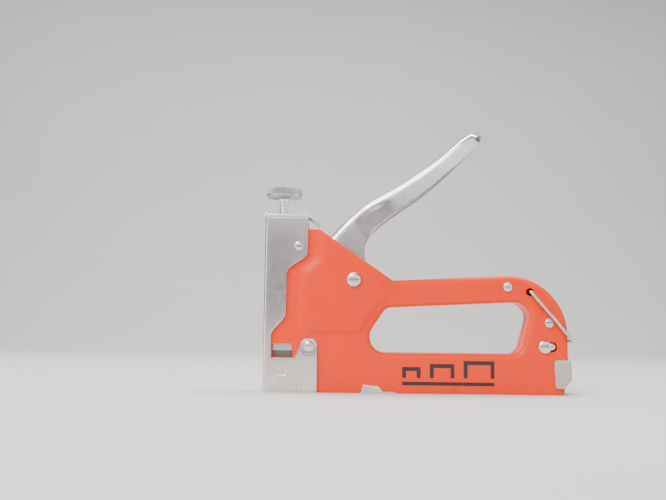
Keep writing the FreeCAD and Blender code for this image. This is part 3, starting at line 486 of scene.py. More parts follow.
def make_scratches():
    """Thin handling scratches, mostly along the gun: 1 in a scratch."""
    group, given, out = shader_group("scratches", [("Scale", 260.0), ("Amount", 0.5)], ["Mask"])
    total = None
    for stretch in ((0.05, 1.0, 1.0), (0.35, 1.0, 0.12)):
        line = object_noise(group, given.outputs["Scale"], 1.0, 0.4, stretch)
        thin = math_node(group, "ABSOLUTE", math_node(group, "SUBTRACT", line, 0.5))
        mark = math_node(group, "SUBTRACT", 1.0, ramp(group, thin, 0.0, 0.012))
        total = mark if total is None else math_node(group, "MAXIMUM", total, mark)
    where = ramp(group, object_noise(group, 45.0, 2.0), 0.5, 0.66)
    mask = math_node(group, "MULTIPLY", total, where)
    mask = math_node(group, "MULTIPLY", mask, given.outputs["Amount"], True)
    group.links.new(mask, out.inputs["Mask"])
    return group


def make_rolling():
    """Slight waves and rolling lines of sheet metal, as a height in 0..1."""
    group, given, out = shader_group("rolling", [("Waves", 0.6), ("Lines", 0.25)], ["Height"])
    waves = math_node(group, "MULTIPLY", object_noise(group, 55.0, 1.0, 0.3), given.outputs["Waves"])
    lines = object_noise(group, 900.0, 2.0, 0.6, (1.0, 1.0, 0.03))
    total = math_node(group, "ADD", waves, math_node(group, "MULTIPLY", lines, given.outputs["Lines"]))
    group.links.new(total, out.inputs["Height"])
    return group


smudges = make_smudges()
scratches = make_scratches()
rolling = make_rolling()
print("shader groups:", [g.name for g in (smudges, scratches, rolling)])


# %% Finish maker
def group_node(tree, group, **values):
    """A group placed in a material with its own values."""
    node = tree.nodes.new("ShaderNodeGroup")
    node.node_tree = group
    for label, value in values.items():
        node.inputs[label].default_value = value
    return node


def finish(name, colour, roughness, metallic=0.0, **look):
    """Principled finish with tone variation, smudges, scratches and a fine bump."""
    material, tree, shader = new_material(name)
    shader.inputs["Metallic"].default_value = metallic
    for label, key, usual in (
        ("IOR", "ior", 1.5), ("Coat Weight", "coat", 0.0), ("Coat Roughness", "coat_roughness", 0.08)
    ):
        shader.inputs[label].default_value = look.get(key, usual)
    smudge = group_node(tree, smudges, Amount=look.get("smudge", 0.5), Scale=look.get("smudge_scale", 70.0))
    scratch = group_node(tree, scratches, Amount=look.get("scratch", 0.3))
    sheet = group_node(tree, rolling, Waves=look.get("waves", 0.3), Lines=look.get("lines", 0.1))
    dull = look.get("dull", [c * 0.82 for c in colour])
    worn = look.get("worn", [min(1, c * 1.2 + 0.05) for c in colour])
    tone = colour_mix(tree, colour, dull, smudge.outputs["Mask"])
    tone = colour_mix(tree, tone, worn, scratch.outputs["Mask"])
    tree.links.new(tone, shader.inputs["Base Color"])
    dulled = math_node(tree, "MULTIPLY", smudge.outputs["Mask"], look.get("dulling", 0.25))
    marked = math_node(tree, "MULTIPLY", scratch.outputs["Mask"], 0.25)
    rough = math_node(tree, "ADD", math_node(tree, "ADD", dulled, marked), roughness, True)
    tree.links.new(rough, shader.inputs["Roughness"])
    grain = object_noise(tree, look.get("grain_scale", 2600.0), 2.0)
    grain = math_node(tree, "MULTIPLY", grain, look.get("grain", 0.06))
    height = math_node(tree, "ADD", sheet.outputs["Height"], grain)
    height = math_node(tree, "SUBTRACT", height, math_node(tree, "MULTIPLY", scratch.outputs["Mask"], 0.15))
    bump = tree.nodes.new("ShaderNodeBump")
    bump.inputs["Strength"].default_value = look.get("bump", 0.5)
    bump.inputs["Distance"].default_value = look.get("depth", 0.1) * MM
    tree.links.new(height, bump.inputs["Height"])
    tree.links.new(bump.outputs["Normal"], shader.inputs["Normal"])
    return material


enamel = finish(
    "orange_enamel", (0.86, 0.04, 0.003), 0.33, ior=1.32, coat=0.05, coat_roughness=0.1, smudge=0.3,
    scratch=0.1, waves=0.5, lines=0.0, grain=0.05, grain_scale=1500.0, dull=(0.77, 0.034, 0.003),
    worn=(0.9, 0.2, 0.08), depth=0.12,
)
nickel = finish(
    "bright_nickel", (0.78, 0.735, 0.725), 0.2, metallic=1.0, smudge=0.55, smudge_scale=38.0, scratch=0.35,
    waves=0.8, lines=0.1, grain=0.05, dull=(0.66, 0.60, 0.585), depth=0.14, dulling=0.2,
)
plate_nickel = finish(
    "plate_nickel", (0.86, 0.85, 0.84), 0.24, metallic=1.0, smudge=0.5, scratch=0.3, waves=0.4, depth=0.08,
)
rivet_nickel = finish(
    "rivet_nickel", (0.76, 0.73, 0.70), 0.2, metallic=1.0, smudge=0.7, smudge_scale=300.0, grain=0.1,
    depth=0.06,
)
zinc = finish(
    "knob_zinc", (0.52, 0.52, 0.51), 0.42, metallic=1.0, smudge=0.8, smudge_scale=220.0, grain=0.4,
    grain_scale=1800.0, dull=(0.36, 0.36, 0.35), depth=0.08,
)
steel = finish(
    "plain_steel", (0.46, 0.46, 0.46), 0.35, metallic=1.0, smudge=0.6, lines=0.3, depth=0.06,
)
spring_steel = finish(
    "spring_steel", (0.3, 0.3, 0.31), 0.3, metallic=1.0, smudge=0.4, smudge_scale=200.0, depth=0.04,
)
wire_steel = finish(
    "wire_steel", (0.68, 0.66, 0.62), 0.24, metallic=1.0, smudge=0.8, smudge_scale=260.0, depth=0.05,
)
cap_enamel = finish(
    "cap_enamel", (0.47, 0.415, 0.36), 0.5, smudge=0.4, waves=0.3, lines=0.0, grain=0.15,
    grain_scale=1700.0, depth=0.08,
)
bumper_rubber = finish(
    "bumper_rubber", (0.075, 0.08, 0.068), 0.55, smudge=0.6, lines=0.0, grain=0.5, grain_scale=2200.0,
    depth=0.1,
)
ink = finish(
    "print_ink", (0.018, 0.014, 0.014), 0.45, smudge=0.5, scratch=0.4, worn=(0.2, 0.05, 0.03), depth=0.03,
)
print("finishes:", len(bpy.data.materials))

# %% [markdown]
# ## Casing halves
# Each half is one pressing: a flat side with a raised panel over the lever pivot, an edge rolled
# over along the grip and round the finger opening, and cut-outs for the sight window, the wire
# lock and the rear catch. The blank is filled flat, lifted by the panel's formula and rolled
# down at the folded edges, then given its sheet thickness.

# %% Casing shape
rear_x, panel_y, top_z = drawing(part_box("casing_right")[1])
casing_y = 8.0                      # of the flat side
panel_rise = panel_y - casing_y
casing_bend = 2.4
casing_sheet = 1.0
seam_gap = 0.07                     # each folded edge stops this far from the middle plane
slope_start, slope_run = 2.2, 4.5   # how the panel rises away from the finger opening
grip_corner_x, grip_corner_z = 61.5, 55.0
rear_round = 29.2
ear_low, ear_high = 46.0, 63.9      # the magazine's ears pass under the casing here

casing_corners = [
    (-0.55, 0.0, 0.0), (ear_low, 0.0, 0.0), (ear_low, 1.1, 0.0), (ear_high, 1.1, 0.0),
    (ear_high, 0.0, 0.0), (rear_x - 2.4, 0.0, 2.0), (rear_x - 2.4, 17.4, 0.0), (rear_x, 17.4, 0.0),
    (rear_x, 58.1, rear_round), (rear_x - rear_round, 58.1, 0.0),
    (grip_corner_x, grip_corner_z, 3.0), (25.35, top_z, 1.5), (-0.55, top_z, 1.5),
]
opening_corners = [
    (44.0, 19.4, 7.8), (rear_x - 23.3, 19.4, 6.0), (rear_x - 16.1, 45.4, 7.5), (58.8, 41.6, 5.0),
]
panel_foot = [
    (14.6, 26.9, 7.0), (67.0, 26.9, 5.0), (67.0, 95.0, 0.0), (22.8, 95.0, 0.0), (22.8, 67.2, 5.0),
    (14.6, 60.0, 5.0),
]
panel_top = [
    (19.0, 31.3, 4.0), (54.6, 31.3, 3.0), (54.6, 95.0, 0.0), (28.4, 95.0, 0.0), (28.4, 63.4, 4.0),
    (19.0, 55.4, 4.0),
]
slot_x, slot_z = rear_x - 11.8, 23.2
lock_x, lock_z = rear_x - 18.7, 50.0


def rounded_box(x0, z0, x1, z1, radius, step):
    """Outline of a rectangle with rounded corners."""
    return rounded_outline([(x0, z0, radius), (x1, z0, radius), (x1, z1, radius), (x0, z1, radius)], step)


casing_holes = [
    rounded_box(3.0, 16.9, 12.9, 23.5, 0.6, 0.7),
    rounded_box(slot_x - 2.3, slot_z - 2.35, slot_x + 5.9, slot_z + 2.35, 2.2, 0.6),
    rounded_box(lock_x - 1.9, lock_z - 1.9, lock_x + 1.9, lock_z + 1.9, 1.88, 0.5),
]


def panel_lift(flat, opening):
    """Height of the raised panel, 0 to 1, with soft pressed slopes."""
    foot = rounded_outline(panel_foot)
    top = rounded_outline(panel_top)
    in_foot = inside(flat, [foot])
    in_top = inside(flat, [top])
    to_foot = distance_to(flat, foot)
    to_top = distance_to(flat, top)
    share = np.where(in_top, 1.0, np.where(in_foot, to_foot / (to_foot + to_top + 1e-6), 0.0))
    clear = smoothstep((distance_to(flat, opening) - slope_start) / slope_run)
    return smoothstep(share) * clear


# %% Casing halves
def casing_half(name, side, node):
    """One half; side is +1 or -1 along Y."""
    outer = rounded_outline(casing_corners)
    opening = rounded_outline(opening_corners)
    folded = (outer[:, 0] > grip_corner_x + 0.4) & (outer[:, 1] > 17.5)
    first = int(np.argmax(folded & ~np.roll(folded, 1)))
    back_edge = np.roll(outer, -first, 0)[: int(folded.sum())]
    lines = [(back_edge, False), (opening, True)]
    flat, faces = blank([outer, opening, *casing_holes], lines, casing_bend)
    to_fold = np.minimum(distance_to(flat, back_edge, False), distance_to(flat, opening))
    height = casing_y + panel_rise * panel_lift(flat, opening) - bend_drop(to_fold, casing_bend)
    points, walls = strips(
        flat,
        faces,
        lambda a, b: max(to_fold[a], to_fold[b]) <= on_fold,
        lambda v: (side * height[v] / 2, side * seam_gap),
    )
    points = np.vstack([np.c_[flat[:, 0], height * side, flat[:, 1]], points])
    every = [tuple(f) for f in faces] + walls
    if side > 0:
        every = [f[::-1] for f in every]
    piece = mesh_piece(name, points, every, enamel)
    thicken(piece, casing_sheet, 0.1)
    settle(piece)
    return hand_over(piece, "frame", "casing_enamel", node)


casing_half("casing_shell_right", 1, "casing_right")
casing_half("casing_shell_left", -1, "casing_left")

# %% [markdown]
# ## Nose cover
# The bright nose is one strip wrapped round the front of the gun, so it is laid out flat first:
# s runs from the middle of the front face round the bend and back along the side. The outline,
# the keying dent and the small dimple are drawn on the flat strip, and the strip is then wrapped.
# Only one half is drawn, and a Mirror modifier makes the other.

# %% Nose cover
cover_low, cover_high = (drawing(c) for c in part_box("nose_cover"))
front_x, cover_y = cover_low[0], cover_high[1]
cover_bend = 2.0
cover_sheet = 0.98
dent_low, dent_high = np.array([5.9, 8.7]), np.array([9.5, 11.3])
dent_depth, dent_slope = 0.5, 0.85
dimple, dimple_radius, dimple_depth = np.array([16.1, 4.3]), 1.5, 0.32
ear_rivet = np.array([20.9, 22.3])      # the sheet is dished a little round this rivet
dish_radius, dish_depth = 4.4, 0.18
press_slope = 1.2                       # width of the slope round the dimple and the dish
front_half = cover_y - cover_bend
wrap_end = front_half + cover_bend * math.pi / 2
side_shift = wrap_end - front_x - cover_bend     # s = x + side_shift on the side


def wrapped(s, z, push):
    """Flat strip (s, z) to its place, pushed inward by push."""
    turn = np.clip((s - front_half) / cover_bend, 0, math.pi / 2)
    radius = cover_bend - push
    x = front_x + cover_bend - radius * np.cos(turn) + np.clip(s - wrap_end, 0, None)
    y = np.clip(s, None, front_half) + radius * np.sin(turn)
    return np.c_[x, y, z]


def pressed_rectangle(flat, low, high, slope):
    """1 inside a rectangle, falling softly to 0 over slope outside it."""
    away = np.maximum(np.maximum(low - flat, flat - high), 0)
    return smoothstep(1 - np.sqrt((away ** 2).sum(1)) / slope)


def nose_cover():
    S = side_shift
    outline = rounded_outline(
        [
            (0.0, 0.0, 0.0), (24.9 + S, 0.0, 0.6), (24.9 + S, 26.2, 3.6), (18.0 + S, 26.2, 3.0),
            (13.9 + S, 16.5, 1.5), (2.35 + S, 16.5, 0.6), (2.35 + S, 28.9, 3.0),
            (9.45 + S, 37.0, 6.0), (9.45 + S, 60.0, 6.0), (19.7 + S, 66.9, 4.0),
            (19.7 + S, 85.8, 0.8), (5.0, 85.8, 0.5), (5.0, 89.3, 1.6), (0.0, 89.3, 0.0),
            (0.0, 87.4, 0.0), (3.05, 87.4, 0.0), (3.05, 85.8, 0.0), (0.0, 85.8, 0.0),
        ],
        0.6,
    )
    fine = [(4.3 + S, 7.1, 11.0 + S, 13.0, 0.2), (14.2 + S, 2.4, 18.0 + S, 6.2, 0.25)]
    flat, faces = blank([outline], [], 0.0, 0.75, fine)
    on_side = flat - [S, 0]
    push = dent_depth * pressed_rectangle(on_side, dent_low, dent_high, dent_slope)
    from_dimple = np.linalg.norm(on_side - dimple, axis=1)
    push += dimple_depth * smoothstep((dimple_radius - from_dimple) / press_slope)
    from_rivet = np.linalg.norm(on_side - ear_rivet, axis=1)
    push += dish_depth * smoothstep((dish_radius - from_rivet) / press_slope)
    points = wrapped(flat[:, 0], flat[:, 1], push)
    cover = mesh_piece("nose_cover_shell", points, faces[:, ::-1], nickel)
    add_other_half(cover)
    settle(cover)
    thicken(cover, cover_sheet, 0.12)
    settle(cover, 60)
    return hand_over(cover, "frame", "bright_nickel", "nose_cover")


nose_cover()

# %% [markdown]
# ## Squeeze lever
# The lever is a channel: two side plates joined by a web along the upper edge. Its width grows
# after the neck, and narrows again to a rounded tip. One side plate is filled flat like the
# casing, its upper edge is rolled over, and the web carries on across to the middle plane.


# %% Channel helper
def channel_pressing(name, loops, fold, bend, half_width, material, grid=1.1):
    """Side plate filled, folded along one line, joined by a web and mirrored. Still a skin."""
    flat, faces = blank(loops, [(fold, False)], bend, grid)
    to_fold = distance_to(flat, fold, False)
    y = half_width(flat, to_fold)
    steps = 6

    def folded(a, b):
        middle = (flat[a] + flat[b])[None] / 2
        return max(to_fold[a], to_fold[b], distance_to(middle, fold, False)[0]) <= on_fold

    points, web = strips(flat, faces, folded, lambda v: np.linspace(y[v], 0, steps)[1:])
    points = np.vstack([np.c_[flat[:, 0], y, flat[:, 1]], points])
    every = [f[::-1] for f in [tuple(f) for f in faces] + web]
    piece = mesh_piece(name, points, every, material)
    add_other_half(piece)
    return settle(piece)


# %% Lever shape
lever_sheet = 1.3
lever_bend = 3.3
lever_angle = math.radians(38.0)            # of the lever's chord at rest
chord_start = np.array([37.0, 78.6])        # lengths along the lever are counted from here
pivot, pivot_lobe = np.array([42.55, 55.1]), 8.0
roller, roller_lobe = np.array([19.37, 48.89]), 3.25
lever_foot = np.array([31.0, 76.8])         # the web starts here
tip_start, tip_end = (101.0, 130.4), (107.2, 127.6)
lever_upper = smooth_line(
    [lever_foot, (37.7, 84.3), (46.4, 91.8), (65.4, 103.0), (85.5, 117.2), (95.9, 126.7), tip_start], 0.9
)
lever_end = smooth_line([tip_start, (103.4, 130.87), (105.9, 130.74), (107.4, 129.4), tip_end], 0.35)
lever_lower = smooth_line(
    [tip_end, (98.2, 117.4), (77.6, 98.8), (59.9, 86.1), (51.6, 78.6), (48.2, 72.0), (48.6, 62.0)], 0.9
)
neck_width, blade_width, tip_narrowing = 6.4, 1.7, 2.5     # half widths, and how they change
widens_at, widens_over = 7.0, 16.0
narrows_at, narrows_over = 56.0, 40.0
tip_round_at, tip_round = 80.9, 5.2


def arc(centre, radius, first, last, count=14):
    """Points on a circle between two angles in degrees."""
    turn = np.radians(np.linspace(first, last, count))
    return centre + radius * np.c_[np.cos(turn), np.sin(turn)]


def lever_half_width(flat):
    """Half the channel's width, from its plan outline square to the lever's chord."""
    s = (flat - chord_start) @ np.array([math.cos(lever_angle), math.sin(lever_angle)])
    width = neck_width + blade_width * smoothstep((s - widens_at) / widens_over)
    width -= tip_narrowing * smoothstep((s - narrows_at) / narrows_over)
    round_in = np.clip(s - tip_round_at, 0, 0.985 * tip_round)
    return width - (tip_round - np.sqrt(tip_round ** 2 - round_in ** 2)), s


def squeeze_lever():
    step = 0.8
    by_pivot = arc(pivot, pivot_lobe, 0, -105)
    by_roller = arc(roller, roller_lobe, -75, -255)
    shoulder = np.array([32.95, 63.7])
    outline = np.vstack(
        [
            lever_upper[:-1],
            lever_end[:-1],
            lever_lower[:-1],
            sample_line(lever_lower[-1], pivot + [pivot_lobe, 0.0], step),
            by_pivot,
            sample_line(by_pivot[-1], by_roller[0], step)[1:],
            by_roller,
            sample_line(by_roller[-1], shoulder, step)[1:],
            sample_line(shoulder, lever_upper[0], step),
        ]
    )
    holes = [arc(pivot, 2.6, 0, 345, 24), arc(roller, 1.55, 0, 340, 18)]

    def half_width(flat, to_fold):
        width, s = lever_half_width(flat)
        neck = 0.5 * np.exp(-(((s - 21.0) / 5.0) ** 2)) * smoothstep((to_fold - 2.5) / 3.0)
        softened = np.minimum(1.0, 0.62 * width / lever_bend)
        return width - softened * bend_drop(to_fold, lever_bend) - neck

    fold = np.vstack([lever_upper[:-1], lever_end])
    lever = channel_pressing("lever_channel", [outline, *holes], fold, lever_bend, half_width, nickel)
    thicken(lever, lever_sheet, 0.25)
    settle(lever)
    return hand_over(lever, "lever", "bright_nickel", "squeeze_lever")


squeeze_lever()

# %% [markdown]
# ## End cap
# The cap at the back of the magazine is a small channel too, folded round its top, its back and
# the slanted corner below, so the same helper makes it. It slides out with the magazine rail.

# %% End cap
cap_low, cap_high = (drawing(c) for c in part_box("end_cap"))


def end_cap():
    front, back, low, top = cap_low[0] + 0.25, cap_high[0], cap_low[2], cap_high[2]
    outline = rounded_outline(
        [
            (front + 0.7, low, 0.9), (back - 3.6, low, 1.2), (back, low + 4.6, 1.6),
            (back - 0.4, top, 1.6), (front, top, 1.6),
        ],
        0.45,
    )
    folded = (outline[:, 1] > top - 0.02) | (outline[:, 0] > back - 3.4)
    start = int(np.argmax(folded & ~np.roll(folded, 1)))
    fold = np.roll(outline, -start, 0)[: int(folded.sum())]
    bend = 1.7

    def half_width(_, to_fold):
        return cap_high[1] - bend_drop(to_fold, bend)

    cap = channel_pressing("end_cap_pressing", [outline], fold, bend, half_width, cap_enamel, 0.8)
    thicken(cap, 0.9, 0.15)
    settle(cap)
    return hand_over(cap, "magazine_slide", "cap_enamel", "end_cap")


end_cap()

# %% [markdown]
# ## Small pressings and blocks
# The plate, the magazine and the striker pieces are already right in the engineering model, but
# their edges are perfectly sharp, which no real edge is. A copy is joined into a closed skin,
# and a Bevel modifier breaks its corners so that they catch the light.


# %% Broken edges
corner_angle = 32           # degrees; edges that turn more are corners


def finish_copy(node, name, width, material, slot, segments=2):
    """Copy of a node with its corners broken."""
    source = nodes[node]
    body = body_of(source)[0]
    piece = add_object(name, source.data.copy())
    piece.data.materials.clear()
    piece.data.materials.append(material)
    shell = bmesh.new()
    shell.from_mesh(piece.data)
    bmesh.ops.remove_doubles(shell, verts=shell.verts, dist=0.002 * MM)
    bmesh.ops.dissolve_limit(
        shell, angle_limit=math.radians(1.0), verts=shell.verts, edges=shell.edges, delimit={"NORMAL"}
    )
    shell.to_mesh(piece.data)
    shell.free()
    for polygon in piece.data.polygons:
        polygon.material_index = 0
    break_edges(piece, width, segments, corner_angle)
    settle(piece, 35)
    return hand_over(piece, body, slot, node)


finish_copy("top_plate", "top_plate_pressing", 0.35, plate_nickel, "bright_nickel", 3)
finish_copy("magazine_channel", "magazine_body", 0.18, plate_nickel, "bright_nickel")
finish_copy("bumper", "bumper_block", 0.6, bumper_rubber, "bumper_rubber", 3)
finish_copy("striker_carrier", "carrier_block", 0.4, steel, "plain_steel")
finish_copy("magazine_rail", "rail_pressing", 0.15, steel, "plain_steel")
finish_copy("rear_block", "rear_block_cut", 0.3, steel, "plain_steel")
finish_copy("pusher", "pusher_pressing", 0.15, steel, "plain_steel")

# %% [markdown]
# ## Geometry Nodes workshop
# Rivets, the knurl of the knob and the bent wire are shapes that repeat or follow a line. Each is
# a node tree with its sizes as named inputs, so one tree serves every rivet on the gun.


# %% Node tree helpers
class Tree:
    """A geometry node tree that is filled one node at a time."""

    def __init__(self, name, sizes):
        self.tree = bpy.data.node_groups.new(name, "GeometryNodeTree")
        face = self.tree.interface
        face.new_socket("Geometry", in_out="OUTPUT", socket_type="NodeSocketGeometry")
        face.new_socket("Geometry", in_out="INPUT", socket_type="NodeSocketGeometry")
        for label, value in sizes.items():
            kind = "NodeSocketInt" if isinstance(value, int) else "NodeSocketFloat"
            face.new_socket(label, in_out="INPUT", socket_type=kind).default_value = value
        face.new_socket("Finish", in_out="INPUT", socket_type="NodeSocketMaterial")
        self.given = self.tree.nodes.new("NodeGroupInput").outputs
        self.out = self.tree.nodes.new("NodeGroupOutput")

    def add(self, kind, feed=None, **settings):
        """New node with its settings, its inputs fed by sockets or values."""
        node = self.tree.nodes.new(kind)
        for label, value in settings.items():
            setattr(node, label, value)
        for label, value in (feed or {}).items():
            socket = node.inputs[label]
            if isinstance(value, bpy.types.NodeSocket):
                self.tree.links.new(value, socket)
            else:
                socket.default_value = value
        return node

    def math(self, operation, a, b=0.0):
        """Result of a Math node."""
        return self.add("ShaderNodeMath", {0: a, 1: b}, operation=operation).outputs[0]

    def position(self):
        """The X, Y and Z of each point, as sockets."""
        where = self.add("GeometryNodeInputPosition")
        return self.add("ShaderNodeSeparateXYZ", {0: where.outputs[0]}).outputs

    def vector(self, **parts):
        """Vector from its X, Y and Z; those left out are 0."""
        return self.add("ShaderNodeCombineXYZ", parts).outputs[0]

    def copies(self, points, piece, turn):
        """The piece on every point, turned."""
        feed = {"Points": points, "Instance": piece, "Rotation": turn}
        return self.add("GeometryNodeInstanceOnPoints", feed).outputs[0]

    def join(self, *parts):
        """Several geometries as one."""
        both = self.add("GeometryNodeJoinGeometry")
        for part in parts:
            self.tree.links.new(part, both.inputs[0])
        return both.outputs[0]

    def end(self, geometry):
        """Realize the instances, smooth them, set the finish and join the output."""
        real = self.add("GeometryNodeRealizeInstances", {"Geometry": geometry})
        soft = self.add("GeometryNodeSetShadeSmooth", {"Geometry": real.outputs[0]})
        coat = self.add(
            "GeometryNodeSetMaterial", {"Geometry": soft.outputs[0], "Material": self.given["Finish"]}
        )
        self.tree.links.new(coat.outputs[0], self.out.inputs["Geometry"])

    def run(self, piece, finish_material, **sizes):
        """Apply the tree to an object with its own sizes."""
        modifier = piece.modifiers.new(self.tree.name, "NODES")
        modifier.node_group = self.tree
        for item in self.tree.interface.items_tree:
            if item.in_out != "INPUT" or item.name == "Geometry":
                continue
            size = item.name.replace(" ", "_")
            if item.name == "Finish":
                modifier[item.identifier] = finish_material
            elif size in sizes:
                modifier[item.identifier] = sizes[size]
        return settle(piece)


def outward(piece):
    """Merge doubles and point every face outward."""
    shell = bmesh.new()
    shell.from_mesh(piece.data)
    bmesh.ops.remove_doubles(shell, verts=shell.verts, dist=0.001 * MM)
    bmesh.ops.recalc_face_normals(shell, faces=shell.faces)
    shell.to_mesh(piece.data)
    shell.free()
    return piece


# %% [markdown]
# ## Rivets and pins
# A rivet's head is spun from a soft dome profile: a grid is bent round by formula, with its last
# rings turned in to close the base. A shank is joined to it, and the pair is set on each point,
# turned to face out of its own side of the gun.


# %% Rivet tree
def make_rivet_tree():
    """Tree that sets a domed head and its shank on every point."""
    tree = Tree(
        "domed_rivet",
        {"Head Radius": 0.0025, "Head Height": 0.0012, "Shank Radius": 0.0015, "Shank Length": 0.004},
    )
    grid = tree.add(
        "GeometryNodeMeshGrid", {"Size X": 1.0, "Size Y": 1.0, "Vertices X": 18, "Vertices Y": 41}
    )
    where = tree.position()
    along = tree.math("MULTIPLY", tree.math("ADD", where["X"], 0.5), 1.25)
    around = tree.math("MULTIPLY", where["Y"], 2 * math.pi)
    rise = tree.math("MULTIPLY", tree.math("MINIMUM", along, 1.0), math.pi / 2)
    tuck = tree.math("MULTIPLY", tree.math("MAXIMUM", tree.math("SUBTRACT", along, 1.0), 0.0), 3.9)
    bulge = tree.math("POWER", tree.math("SINE", rise), 0.85)
    bulge = tree.math("MULTIPLY", bulge, tree.math("SUBTRACT", 1.0, tuck))
    radius = tree.math("MULTIPLY", bulge, tree.given["Head Radius"])
    cosine = tree.math("MAXIMUM", tree.math("COSINE", rise), 0.0)
    height = tree.math("MULTIPLY", tree.math("POWER", cosine, 0.8), tree.given["Head Height"])
    dome = tree.vector(
        X=tree.math("MULTIPLY", radius, tree.math("COSINE", around)),
        Y=height,
        Z=tree.math("MULTIPLY", radius, tree.math("SINE", around)),
    )
    head = tree.add("GeometryNodeSetPosition", {"Geometry": grid.outputs["Mesh"], "Position": dome})
    head = tree.add("GeometryNodeMergeByDistance", {"Geometry": head.outputs[0], "Distance": 1e-6})
    shank = tree.add(
        "GeometryNodeMeshCylinder",
        {"Vertices": 24, "Radius": tree.given["Shank Radius"], "Depth": tree.given["Shank Length"]},
    )
    back = tree.vector(Y=tree.math("MULTIPLY", tree.given["Shank Length"], -0.5))
    laid = tree.add(
        "GeometryNodeTransform",
        {"Geometry": shank.outputs["Mesh"], "Translation": back, "Rotation": (math.pi / 2, 0, 0)},
    )
    rivet = tree.join(head.outputs[0], laid.outputs[0])
    far_side = tree.math("MULTIPLY", tree.math("LESS_THAN", tree.position()["Y"], 0.0), math.pi)
    tree.end(tree.copies(tree.given["Geometry"], rivet, tree.vector(X=far_side)))
    return tree


rivet_tree = make_rivet_tree()


def rivets(
    name, spots, y, radius, height, shank, length, replaced, material=rivet_nickel, slot="rivet_nickel"
):
    """A rivet on both sides of the gun at each (x, z) spot."""
    points = [(x, side * y, z) for x, z in spots for side in (1, -1)]
    piece = mesh_piece(name, points, [], material)
    rivet_tree.run(
        piece, material, Head_Radius=radius * MM, Head_Height=height * MM, Shank_Radius=shank * MM,
        Shank_Length=length * MM,
    )
    outward(piece)
    return hand_over(piece, "frame", slot, *replaced)


rivets("nose_rivet_heads", [(15.3, 71.5)], cover_y, 2.3, 1.0, 1.5, 3.2, ["nose_rivets_upper"])
ear_y = cover_y - 0.1
rivets("ear_rivet_heads", [tuple(ear_rivet)], ear_y, 2.8, 1.5, 1.5, ear_y, ["nose_rivet_lower"])
rivets(
    "grip_rivet_heads", [(rear_x - 29.6, 52.3), (rear_x - 9.5, 34.9)], casing_y, 2.35, 1.1, 1.5, casing_y,
    ["grip_rivets"],
)
rivets(
    "pivot_pin_heads", [tuple(pivot)], casing_y + panel_rise, 3.7, 1.8, 2.5, casing_y + panel_rise,
    ["lever_pivot"],
)
rivets("catch_pin_heads", [(slot_x, slot_z)], casing_y, 3.4, 1.6, 1.9, casing_y, ["catch_pin"])
nub_at = (slot_x + 3.3, slot_z + 0.2)
rivets("catch_nub", [nub_at], casing_y - 0.3, 1.9, 1.6, 1.2, 1.2, [], wire_steel, "wire_steel")

# %% [markdown]
# ## Adjusting knob and screw
# The knob is turned from zinc: a dome on top, a knurled rim and a hollow underneath. The knurl is
# a ring of small ridges, each set square to the rim by the node tree. The screw below it carries
# a real helical thread, made by moving the surface of a tube in and out along a spiral.


# %% Knob
def lathe(name, profile, axis_x, material, segments=96):
    """Closed turned piece about an upright axis, from (radius, z) points."""
    turn = np.linspace(0, 2 * math.pi, segments, endpoint=False)
    points, rings = [], []
    for radius, z in profile:
        if radius == 0:
            rings.append([len(points)])
            points.append((axis_x, 0, z))
            continue
        rings.append(list(range(len(points), len(points) + segments)))
        points += [(axis_x + radius * math.cos(t), radius * math.sin(t), z) for t in turn]
    faces = []
    for low, high in zip(rings, rings[1:]):
        for i in range(segments):
            j = (i + 1) % segments
            quad = [low[i % len(low)], low[j % len(low)], high[j % len(high)], high[i % len(high)]]
            faces.append(list(dict.fromkeys(quad)))
    piece = mesh_piece(name, points, faces, material)
    return outward(piece)


def make_knurl_tree():
    """Tree that adds a ring of ridges to a knob."""
    tree = Tree(
        "knurled_rim", {"Count": 64, "Rim Radius": 0.009, "Ridge Width": 0.0007, "Ridge Height": 0.0034}
    )
    ring = tree.add(
        "GeometryNodeMeshCircle", {"Vertices": tree.given["Count"], "Radius": tree.given["Rim Radius"]}
    )
    ridge = tree.add(
        "GeometryNodeMeshCone",
        {
            "Vertices": 4, "Side Segments": 1, "Radius Top": tree.given["Ridge Width"],
            "Radius Bottom": tree.given["Ridge Width"], "Depth": tree.given["Ridge Height"],
        },
        fill_type="NGON",
    )
    where = tree.position()
    facing = tree.vector(Z=tree.math("ARCTAN2", where["Y"], where["X"]))
    ridges = tree.copies(ring.outputs["Mesh"], ridge.outputs["Mesh"], facing)
    tree.end(tree.join(tree.given["Geometry"], ridges))
    return tree


knob_low, knob_high = (drawing(c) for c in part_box("adjusting_knob"))
knob_radius = knob_high[1]
knob_z, knob_top = knob_low[2], knob_high[2]
screw_x = (knob_low[0] + knob_high[0]) / 2
knurl_depth = 0.55


